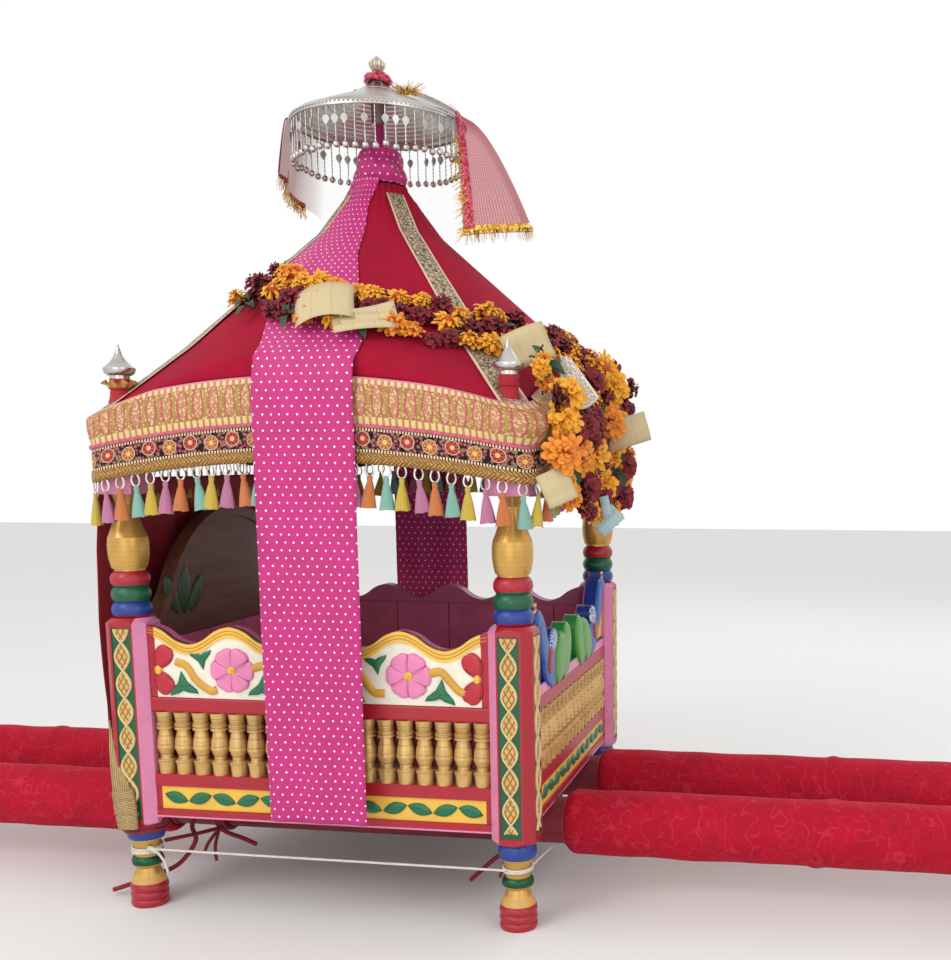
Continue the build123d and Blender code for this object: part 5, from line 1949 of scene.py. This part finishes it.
# One letter for each head along the string, from its left end
UPPER_HEADS = "MYOYYOYYSYMSYYMYMMYMYMYM"
MIDDLE_HEADS = "MMSMMOMMMMSMMLMMMYMOMMYM"
LOWER_HEADS = "YLLMLOYLOOMYYLSYYMYOYMOM"
HEAD_STEP = 0.0315
ROW_STEP = 0.021
# Width of each kind of head
HEAD_WIDTH = {"M": 0.039, "O": 0.043, "Y": 0.041, "S": 0.044, "L": 0.046}


def tent_outward(turn, z):
    """The direction that the tent's surface faces."""
    here = tent_point(turn, z)
    east = tent_point(turn + 0.02, z) - here
    up = tent_point(turn, z + 0.006) - here
    return east.cross(up).normalized()


def walk(table, step):
    """Stops at even distances along the string's line, as turn and height."""
    route = smooth_route([(radians(turn), z) for turn, z in table], 12)
    points = [tent_point(turn, z) for turn, z in route]
    stops = []
    gone = 0.0
    for before, after, place in zip(points, points[1:], route):
        gone += (after - before).length
        if gone >= step:
            gone -= step
            stops.append(place)
    return stops


flowers = Work()
stops = walk(STRING, HEAD_STEP)
for index, (turn, z) in enumerate(stops):
    for letters, level in ((LOWER_HEADS, -1), (MIDDLE_HEADS, 0), (UPPER_HEADS, 1)):
        kind = letters[index % len(letters)]
        height = z + level * ROW_STEP + uniform(-0.004, 0.004)
        shift = uniform(-0.03, 0.03) + 0.03 * level
        lift = 0.013 if level else 0.019
        point = tent_point(turn + shift, height, lift)
        wide = HEAD_WIDTH[kind] * uniform(0.74, 1.12)
        set_flower(flowers, kind, point, tent_outward(turn + shift, height), wide)
        beside = tent_point(turn + uniform(0.03, 0.06), height + uniform(-0.012, 0.012), 0.008)
        kind = random.choice("MMYL")
        set_flower(flowers, kind, beside, tent_outward(turn, height), uniform(0.024, 0.032))
print("heads on the slopes", 3 * len(stops))

# %% [markdown]
# The bunch is looser. It fills the space between two lines, and its heads face every way. Larger
# heads that catch the eye are set one by one.

# %% Bunch it over the right eave
# Rows hold: distance back from the middle, foot, head
BUNCH = [(-0.29, 0.63, 0.725), (-0.24, 0.605, 0.722), (-0.172, 0.588, 0.7), (-0.105, 0.575, 0.704),
         (-0.06, 0.565, 0.762), (0.0, 0.56, 0.788), (0.12, 0.572, 0.785), (0.235, 0.59, 0.755)]
# Heads that stand out of the bunch. Rows hold: kind, distance back, height, width
BUNCH_HEADS = [
    ("Y", -0.265, 0.728, 0.054), ("Y", -0.276, 0.698, 0.05), ("O", -0.292, 0.655, 0.06),
    ("Y", -0.11, 0.655, 0.056), ("Y", 0.028, 0.757, 0.062), ("O", 0.002, 0.705, 0.064),
    ("M", -0.165, 0.69, 0.05), ("M", -0.121, 0.668, 0.046), ("M", 0.15, 0.634, 0.05),
    ("Y", -0.04, 0.61, 0.052), ("M", -0.155, 0.606, 0.05), ("L", 0.08, 0.633, 0.055),
    ("Y", 0.055, 0.675, 0.052), ("M", -0.052, 0.586, 0.05), ("M", 0.118, 0.584, 0.05),
    ("S", -0.012, 0.785, 0.05), ("O", -0.21, 0.652, 0.056), ("M", -0.232, 0.684, 0.046),
    ("L", -0.225, 0.64, 0.05), ("Y", 0.09, 0.706, 0.048),
]
BUNCH_OUT = 0.3405
BUNCH_STEP = 0.029
bunch = Work()
random.seed(44)
along = BUNCH[0][0] + 0.012
while along < BUNCH[-1][0]:
    foot, head = blend_rows(BUNCH, along)
    count = max(2, round((head - foot) / 0.036))
    for k in range(count + 1):
        height = foot + (head - foot) * (k + uniform(-0.25, 0.25)) / count
        edge = 0.01 if height > 0.77 else 0.0
        point = Vector((BUNCH_OUT - edge + uniform(0, 0.006), along + uniform(-0.01, 0.01), height))
        outward = Vector((1.0, uniform(-1.1, 0.5), uniform(-0.3, 0.5)))
        kind = random.choices("MYOSL", (52, 16, 10, 8, 14))[0]
        set_flower(bunch, kind, point, outward, uniform(0.032, 0.046))
    along += BUNCH_STEP
for kind, along, height, wide in BUNCH_HEADS:
    point = Vector((0.352, along, height))
    set_flower(bunch, kind, point, Vector((0.55, -0.85, 0.1)), wide)
garland = flowers.take(bunch).make("garland_flowers", PETALS)
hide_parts("garland")
print("garland", len(garland.data.polygons), "faces")

# %% [markdown]
# ## Gifts tucked in the garland
# Folded slips of paper are tucked between the flowers as gifts; here they are plain. Each is a
# small sheet, bent like a roof tile and turned into place by its row in a table.

# %% Tuck in the slips


def paper_finish(name, colour):
    """Thin paper that has been folded twice across, with painted shade along the folds."""
    f = Finish(name, rough=0.75)
    lie, u, v = f.lie()
    # The brown lines along the folds are painted shade
    crease = f.near(f.size(u), 0.17, 0.012)
    f.colour(f.mix(f.times(crease, 0.12), colour, BROWN))
    return f


PAPER = paper_finish("slip paper", "c8b48c")
BLUE_PAPER = paper_finish("blue slip paper", "a9c3c6")
# Rows hold: middle x, y and z, width, height, turn, lean and roll in degrees, bend, kind
SLIPS = [
    (0.025, -0.274, 0.85, 0.08, 0.066, 0, -40, -14, 0.013, 0),
    (0.084, -0.286, 0.826, 0.08, 0.03, 14, -50, -10, 0.003, 0),
    (0.088, -0.28, 0.838, 0.074, 0.028, 14, -34, -14, -0.004, 0),
    (0.29, -0.224, 0.797, 0.062, 0.052, 14, -8, -22, 0.01, 0),
    (0.346, -0.296, 0.612, 0.042, 0.046, 20, 0, -24, 0.006, 0),
    (0.378, 0.03, 0.69, 0.072, 0.046, 16, 4, -16, 0.01, 0),
    (0.366, -0.06, 0.556, 0.044, 0.03, 12, -12, -42, 0.004, 1),
    (0.366, -0.075, 0.578, 0.014, 0.03, 12, -5, -12, 0.002, 1),
]
slips = Work()
for x, y, z, wide, tall, turn, lean, roll, bend, kind in SLIPS:
    place = (Matrix.Translation((x, y, z)) @ Matrix.Rotation(radians(turn), 4, "Z")
             @ Matrix.Rotation(radians(lean), 4, "X") @ Matrix.Rotation(radians(roll), 4, "Y"))
    rows = []
    lies = []
    for r in range(7):
        v = r / 6 - 0.5
        row = []
        for c in range(11):
            u = c / 10 - 0.5
            out = bend * (1 - 4 * u * u) + 0.002 * sin(9 * v + x * 40)
            row.append(place @ Vector((u * wide, -out, v * tall)))
        rows.append(row)
        lies.append([(c / 10 - 0.5, v) for c in range(11)])
    slips.grid(rows, kind, lies=lies)
papers = slips.make("gift_slips", [PAPER, BLUE_PAPER])
thicken(papers, 0.0006, 0.0)
print("slips", len(SLIPS))

# %% [markdown]
# A stiff silver ribbon end is spread like a fan over the right eave. It runs from a short line at
# its binding to a curve at its foot, with a swelling between them.

# %% Spread the ribbon fan
FAN_TOP = (Vector((0.328, -0.196, 0.788)), Vector((0.338, -0.178, 0.786)))
FAN_FOOT = (Vector((0.334, -0.226, 0.728)), Vector((0.356, -0.19, 0.7)), Vector((0.372, -0.146, 0.734)))


def fan_finish():
    """Silver brocade with fine ribs that spread from the binding, and cream edges."""
    f = Finish("fan ribbon", rough=0.45, metal=0.25)
    lie, u, v = f.lie()
    ribs = f.sine(f.times(u, 58.0))
    curls = f.cells(150.0, f.place()[0], "DISTANCE_TO_EDGE").outputs["Distance"]
    colour = f.mix(f.step(ribs, 0.1, 0.5), "8d7a6c", "cdbcae")
    colour = f.mix(f.under(curls, 0.06), colour, "e6dccb")
    edge = f.most(f.step(f.size(u), 0.9), f.step(v, 0.95))
    f.colour(f.mix(edge, colour, "e3d3b6"))
    f.bump(ribs, 0.0008, 0.6)
    return f


rows = []
lies = []
for r in range(17):
    v = r / 16
    row = []
    for c in range(25):
        t = c / 24
        top = FAN_TOP[0].lerp(FAN_TOP[1], t)
        foot = FAN_FOOT[0] * (1 - t) ** 2 + FAN_FOOT[1] * 2 * t * (1 - t) + FAN_FOOT[2] * t * t
        swell = 0.01 * sin(pi * v) * sin(pi * t)
        row.append(top.lerp(foot, v) + Vector((0.4, -0.9, 0.2)) * swell)
    rows.append(row)
    lies.append([(2 * c / 24 - 1, v) for c in range(25)])
fan = Work().grid(rows, lies=lies).make("fan_ribbon", [fan_finish()])
thicken(fan, 0.0012, 0.0)
print("fan", len(fan.data.polygons), "faces")

# %% [markdown]
# Beside the fan, a bunch of stems and yellow buds is caught under the garland.

# %% Set the stems and buds
stems = Work()
random.seed(17)
knot_place = Vector((0.306, -0.23, 0.772))
for k in range(9):
    lean = Vector((uniform(-0.1, 0.5), uniform(-1.0, -0.2), uniform(-0.7, 0.5))).normalized()
    tip = knot_place + lean * uniform(0.03, 0.045)
    bend = (knot_place + tip) / 2 + Vector((0, 0, 0.006))
    cord_work(smooth_route([knot_place, bend, tip], 4), 0.0012, 5, 3, stems)
# Rows hold: x, y, z, width, kind
BUDS = [
    (0.318, -0.262, 0.766, 0.03, "Y"), (0.318, -0.25, 0.78, 0.024, "S"),
    (0.318, -0.24, 0.748, 0.03, "O"), (0.318, -0.222, 0.756, 0.026, "M"),
    (0.316, -0.238, 0.776, 0.044, "L"), (0.316, -0.226, 0.77, 0.044, "L"),
    (0.316, -0.216, 0.764, 0.044, "L"),
]
for x, y, z, wide, kind in BUDS:
    set_flower(stems, kind, Vector((x, y, z)), Vector((0.5, -0.9, 0.2)), wide)
posy = stems.make("stem_posy", PETALS)
print("buds", len(BUDS))

# %% [markdown]
# ## Padded pole sleeves
# Quilted crimson cloth is wrapped round the poles to spare the bearers' shoulders. It is embossed
# with flowers and curling stems, tight at its ends and creased where it has been pushed along.

# %% Cloth and shape of the sleeves
SLEEVE_FROM = 0.322
SLEEVE_TO = 1.26
SLEEVE_RADIUS = 0.0423
WRAP_RADIUS = 0.0362
# Where the cloth has been pushed into a fold, along the pole
PUSHED = (0.7, 0.985, 1.01, 1.05)
POLE_Y = 0.124
POLE_Z = 0.106


def pole_spot(along, side, turn, radius):
    """A point round the front or rear pole."""
    return Vector((along, side * POLE_Y + radius * cos(turn), POLE_Z + radius * sin(turn)))


def embossed_finish():
    """Crimson cloth with raised, paler flowers and stems."""
    f = Finish("embossed crimson", rough=0.8, Sheen_Weight=0.03, Specular_IOR_Level=0.2,
               Sheen_Tint=(1.0, 0.3, 0.35, 1))
    lie, u, v = f.lie()
    warp = f.noise(20.0, 2.0, lie)
    flowers = f.cells(17.0, lie)
    centre = f.node("VectorMath", {"operation": "SUBTRACT"}, {0: lie, 1: flowers.outputs["Position"]})
    parts = f.node("SeparateXYZ", inputs={0: centre.outputs[0]})
    turn = f.math("ARCTAN2", parts.outputs[1], parts.outputs[0])
    reach = f.times(flowers.outputs["Distance"], 1 / 17.0)
    petal = f.times_plus(f.size(f.sine(f.times(turn, 3.0))), 0.01, 0.011)
    rim = f.near(reach, petal, 0.0009)
    inner = f.near(reach, f.times(petal, 0.62), 0.0006)
    heart = f.near(reach, 0.0038, 0.0007)
    stems = f.near(f.noise(26.0, 1.0, lie), 0.5, 0.012)
    veins = f.near(f.noise(60.0, 0.0, lie), 0.56, 0.012)
    outside = f.math("GREATER_THAN", reach, f.plus(petal, 0.002))
    drawn = f.times(f.most(stems, veins), outside)
    drawn = f.most(f.most(rim, inner), f.most(heart, drawn))
    cloth = f.mix(f.step(warp, 0.5, 0.3), "bb0a2a", "a00a26")
    f.colour(f.mix(f.times(drawn, 0.32), cloth, "cf3a58"))
    f.bump(f.times_plus(drawn, 0.6, warp), 0.0016, 0.7)
    return f


def sleeve_radius(along, turn, seed):
    """The sleeve's radius: drawn in at both ends, creased, and slack along its underside."""
    share = (along - SLEEVE_FROM) / (SLEEVE_TO - SLEEVE_FROM)
    ends = min(1.0, min(share, 1 - share) / 0.01)
    slack = 0.0022 * max(0.0, -sin(turn)) ** 2
    crease = noise.noise(Vector((along * 16 + sin(turn) * 1.6, cos(turn) * 1.4, seed))) * 0.0018
    fold = sum(math.exp(-((along - at - 0.012 * sin(turn + at * 9)) / 0.008) ** 2) for at in PUSHED)
    return WRAP_RADIUS + (SLEEVE_RADIUS - WRAP_RADIUS + slack + crease + 0.0026 * fold) * ends ** 0.5


print("sleeve length", round(SLEEVE_TO - SLEEVE_FROM, 3), "m")

# %% [markdown]
# The four sleeves differ only in their creases. Each is a tube from the box outwards, padded, so
# its cloth is thick.

# %% Sew the sleeves
EMBOSSED = embossed_finish()
for side_y, name_y in ((-1, "front"), (1, "rear")):
    for side_x, name_x in ((-1, "left"), (1, "right")):
        rows = []
        lies = []
        seed = side_x * 3 + side_y * 7
        for i in range(261):
            along = SLEEVE_FROM + (SLEEVE_TO - SLEEVE_FROM) * i / 260
            row = []
            for c in range(48):
                turn = tau * c / 48
                radius = sleeve_radius(along, turn, seed)
                row.append(pole_spot(side_x * along, side_y, turn, radius))
            rows.append(row)
            lies.append([(along + seed * 0.13, 0.27 * c / 48) for c in range(48)])
        if side_x > 0:
            rows = [row[::-1] for row in rows]
            lies = [row[::-1] for row in lies]
        tube = Work().grid(rows, round_way=True, lies=lies)
        pad = tube.make(f"pad_{name_y}_{name_x}", [EMBOSSED])
        thicken(pad, 0.0055)
        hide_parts(f"sleeve_{name_y}_{name_x}")
print("sleeve faces", len(pad.data.polygons))

# %% [markdown]
# ## Curtain
# A red curtain hangs outside the left end, long at its front edge and short behind. Its folds grow
# from nothing at the eaves to full depth lower down, as hung cloth does.

# %% Curtain of the left end
CURTAIN_X = -0.3137
CURTAIN_HEAD = 0.621
CURTAIN_FROM = -0.287
CURTAIN_WIDE = 0.572


def plain_cloth(name, colour):
    """Plain dyed cotton."""
    f = Finish(name, rough=0.75, Sheen_Weight=0.1)
    at = f.place()[0]
    faded = f.step(f.noise(12.0, 3.0, at), 0.5, 0.3)
    f.colour(f.mix(faded, colour, darker(colour, 0.72)))
    f.bump(f.noise(220.0, 2.0, at), 0.0004, 0.5)
    return f


def curtain_foot(y):
    """Height of the hem: long at the front, short behind."""
    share = min(1.0, max(0.0, (y + 0.186) / 0.016))
    return 0.113 + 0.047 * share


CURTAIN_RED = plain_cloth("curtain cotton", "a3182a")
rows = []
lies = []
for i in range(71):
    row = []
    lie_row = []
    for c in range(111):
        y = CURTAIN_FROM + CURTAIN_WIDE * c / 110
        z = CURTAIN_HEAD + (curtain_foot(y) - CURTAIN_HEAD) * i / 70
        free = min(1.0, (CURTAIN_HEAD - z) / 0.1)
        wave = 0.0034 * sin(y * 62 + 0.8 * sin(z * 9)) + 0.0018 * sin(y * 131 + 1.1)
        swell = max(0.0, min(1.0, (z - 0.3) / 0.12))
        lean = 0.006 * swell * max(0.0, 1 - (z - 0.42) / 0.2)
        row.append(Vector((CURTAIN_X - 0.0056 * free - wave * free - lean, y, z)))
        lie_row.append((y, z))
    rows.append(row)
    lies.append(lie_row)
curtain_cloth = Work().grid(rows, lies=lies).make("curtain_cloth", [CURTAIN_RED])
thicken(curtain_cloth, 0.0008)
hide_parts("left_curtain")
print("curtain", round(cloth_area(curtain_cloth), 3), "m2")

# %% [markdown]
# The curtain's front edge is folded in gold brocade. The fold crosses the post as a narrowing flap
# and ends in a small flat block.

# %% Fold the gold border


def fold_finish():
    """Thin gold cloth with woven lines along its length."""
    f = Finish("gold cloth", rough=0.55, metal=0.2)
    lie, u, v = f.lie()
    lines = f.sine(f.times(u, tau / 0.0034))
    fine = f.noise(160.0, 3.0, f.place()[0])
    colour = f.mix(f.step(lines, 0.1, 0.7), "927648", "bfa474")
    f.colour(f.mix(f.times(f.step(fine, 0.55, 0.1), 0.35), colour, "7c6238"))
    f.bump(lines, 0.0004, 0.6)
    return f


GOLD_CLOTH = fold_finish()
# The flap. Rows hold: height, left x, right x, y
BORDER = [(0.174, -0.3045, -0.2735, -0.3165), (0.21, -0.3095, -0.29, -0.311),
          (0.24, -0.315, -0.306, -0.303), (0.276, -0.3205, -0.3192, -0.29)]
border = Work()
rows = []
lies = []
for i in range(31):
    z = BORDER[-1][0] + (BORDER[0][0] - BORDER[-1][0]) * i / 30
    left, right, y = blend_rows(BORDER, z)
    wide = right - left
    rows.append([Vector((left + wide * t / 4, y - 0.0008 * sin(pi * t / 4), z)) for t in range(5)])
    lies.append([(wide * t / 4, z) for t in range(5)])
border.grid(rows, lies=lies)
# Its end is folded into a small block. Rows hold: height, left x, right x
FOLD = [(0.123, -0.299, -0.2685), (0.15, -0.304, -0.269), (0.18, -0.3058, -0.2725)]
rows = []
lies = []
for i in range(25):
    z = FOLD[-1][0] + (FOLD[0][0] - FOLD[-1][0]) * i / 24
    left, right = blend_rows(FOLD, z)
    crease = 0.0012 if i in (6, 7, 15, 16) else 0.0
    front = -0.319 + crease
    slant = 0.004 * (1 if i < 12 else 0.4)
    middle = ((left + right) / 2, front - 0.0008)
    corners = [(left, -0.314), (left + 0.0012, front), middle, (right - 0.0012, front), (right, -0.314)]
    rows.append([Vector((x, y, z + slant * (k - 2) / 2)) for k, (x, y) in enumerate(corners)])
    lies.append([(z + 0.3 * x, x) for x, y in corners])
border.grid(rows, lies=lies)
border.cap(rows[-1])
border.cap(rows[0][::-1])
hem = border.make("curtain_border", [GOLD_CLOTH])
thicken(hem, 0.0008, 1.0)
print("border", len(hem.data.polygons), "faces")

# %% [markdown]
# ## Lashings
# Red cloth ties hold the box to its poles, with three turns at each crossing and loose tails. The
# poles are wrapped in plain red cloth between the box and the sleeves.

# %% Tie the poles
TIE = plain_cloth("tie cotton", "8e1828")
PLAIN_WRAP = plain_cloth("plain wrap", "b81c34")
ties = Work()
for x, y in ((-1, -1), (1, -1), (-1, 1), (1, 1)):
    loops = [(0.236, 0.0385), (0.23, 0.039), (0.242, 0.0387)]
    for at, radius in loops:
        turns = [radians(200 + 320 * i / 24) for i in range(25)]
        cord_work([pole_spot(x * at, y, turn, radius) for turn in turns], 0.003, 7, 0, ties)
    knot_at = Vector((x * 0.236, y * (POLE_Y + 0.034), 0.076))
    for swing in (-1, 1):
        end = knot_at + Vector((x * 0.01 * swing, y * 0.03, -0.036 + 0.006 * swing))
        bend = (knot_at + end) / 2 + Vector((0, y * 0.008, 0))
        cord_work(smooth_route([knot_at, bend, end], 5), 0.0026, 7, 0, ties)
    to_leg = [knot_at, (x * 0.246, y * 0.205, 0.082), (x * 0.262, y * 0.262, 0.09)]
    cord_work(smooth_route(to_leg, 8), 0.003, 7, 0, ties)
    rows = []
    for i in range(9):
        at = 0.3135 + 0.0105 * i / 8
        rows.append([pole_spot(x * at, y, radians(15 * c), 0.0368) for c in range(24)])
    ties.grid(rows if x < 0 else [row[::-1] for row in rows], 1, round_way=True)
# Loose ends that hang at the front. Rows of points hold: x, y and z
TAILS = [
    [(-0.245, -0.188, 0.12), (-0.256, -0.2, 0.094), (-0.246, -0.21, 0.072), (-0.264, -0.225, 0.042),
     (-0.292, -0.24, 0.028), (-0.333, -0.256, 0.014), (-0.352, -0.262, 0.008)],
    [(-0.236, -0.158, 0.076), (-0.222, -0.152, 0.066), (-0.198, -0.156, 0.061), (-0.174, -0.16, 0.054)],
    [(0.236, -0.158, 0.076), (0.224, -0.153, 0.062), (0.2, -0.15, 0.042), (0.168, -0.15, 0.012)],
]
for tail in TAILS:
    cord_work(smooth_route(tail, 8), 0.0036, 7, 0, ties)
# The same cloth is drawn round the front left collar
for height, radius in ((0.1165, 0.0292), (0.1225, 0.0288), (0.1275, 0.0296)):
    route = []
    for i in range(33):
        turn = tau * i / 32
        wobble = 0.001 * sin(turn * 3 + height * 900)
        route.append(spot(turn, radius + wobble, height + wobble, -POST_AT, -POST_AT))
    cord_work(route, 0.0034, 7, 0, ties)
bound_ties = ties.make("pole_ties", [TIE, PLAIN_WRAP])
print("ties", len(bound_ties.data.polygons), "faces")

# %% [markdown]
# ## String
# A white string is wound round the front left leg, knotted, and stretched tight to the front right
# leg and back along the right side. A short end of it lies on the left pole.

# %% Stretch the string
STRING_WHITE = cord_finish("white string", "e6dfd2", 0.0012)
string = Work()
NECK_Z = 0.088
NECK_RADIUS = 0.0206
for x in (-1, 1):
    for k in range(3 if x < 0 else 2):
        route = []
        for i in range(31):
            turn = tau * i / 30
            z = NECK_Z - 0.0036 * k + 0.0012 * sin(turn + k)
            route.append(spot(turn, NECK_RADIUS, z, x * POST_AT, -POST_AT))
        cord_work(route, 0.0017, 6, 0, string)
knot_point = Vector((-0.262, -0.296, NECK_Z))
shifts = (Vector((-0.006, -0.003, 0.002)), Vector((0, 0, 0)), Vector((0.006, 0.001, -0.004)))
cord_work(smooth_route([knot_point + shift for shift in shifts], 4), 0.0042, 7, 0, string)
loose = [knot_point, (-0.25, -0.3, 0.083), (-0.238, -0.304, 0.071), (-0.233, -0.306, 0.058)]
cord_work(smooth_route(loose, 8), 0.0019, 6, 0, string)
front_run = [knot_point, (-0.09, -0.2965, 0.0872), (0.09, -0.297, 0.0868), (0.268, -0.2975, 0.0865)]
side_run = [(0.298, -0.27, 0.086), (0.299, -0.205, 0.081), (0.3, -0.153, 0.0755)]
for run in (front_run, side_run):
    cord_work(run, 0.0019, 6, 0, string)
short_end = [(-0.452, -0.12, 0.1478), (-0.444, -0.124, 0.1485), (-0.45, -0.136, 0.1466),
             (-0.47, -0.142, 0.144), (-0.492, -0.139, 0.1452), (-0.5, -0.13, 0.1478)]
cord_work(smooth_route(short_end, 6), 0.0015, 6, 0, string)
wound = string.make("white_string", [STRING_WHITE])
print("string faces", len(wound.data.polygons))

# %% [markdown]
# ## Bindings of the corner drops
# Each silver drop stands on a neck that is bound where it comes through the velvet. The binding is
# a scrap of red cloth, and at the front left a piece of gold lace is caught under it.

# %% Bind the drops
DROP_AT = 0.278
# Rows hold: height, radius of the wound cloth
NECK = [(0.718, 0.0165), (0.726, 0.0146), (0.734, 0.0132), (0.742, 0.0122), (0.75, 0.0124),
        (0.7565, 0.0134), (0.759, 0.0108)]
bindings = Work()
for k, (x, y) in enumerate(((-1, -1), (1, -1), (1, 1), (-1, 1))):
    rows = []
    for height, radius in NECK:
        row = []
        for c in range(36):
            turn = tau * c / 36
            fold = 1 + 0.06 * sin(turn * 5 + height * 330 + k) + 0.05 * sin(turn * 2 + k)
            row.append(spot(turn, radius * fold, height, x * DROP_AT, y * DROP_AT))
        rows.append(row)
    bindings.grid(rows, 0, round_way=True)
    turns = [(t * 0.5236, 0.7445 + 0.001 * sin(t * 0.5)) for t in range(13)]
    thread = [spot(turn, 0.0142, z, x * DROP_AT, y * DROP_AT) for turn, z in turns]
    cord_work(thread, 0.0012, 5, 0, bindings)
rows = []
for height, radius, wave in ((0.744, 0.013, 0.0), (0.75, 0.0172, 0.0016), (0.753, 0.0215, 0.0034)):
    row = []
    for c in range(72):
        turn = tau * c / 72
        reach = radius + wave * sin(turn * 9)
        row.append(spot(turn, reach, height + wave * 0.9 * cos(turn * 9 + 1), -DROP_AT, -DROP_AT))
    rows.append(row)
bindings.grid(rows, 1, round_way=True)
neck_cloth = bindings.make("drop_bindings", [plain_cloth("binding cotton", "b3152a"), BRAID])
print("bindings", len(neck_cloth.data.polygons), "faces")
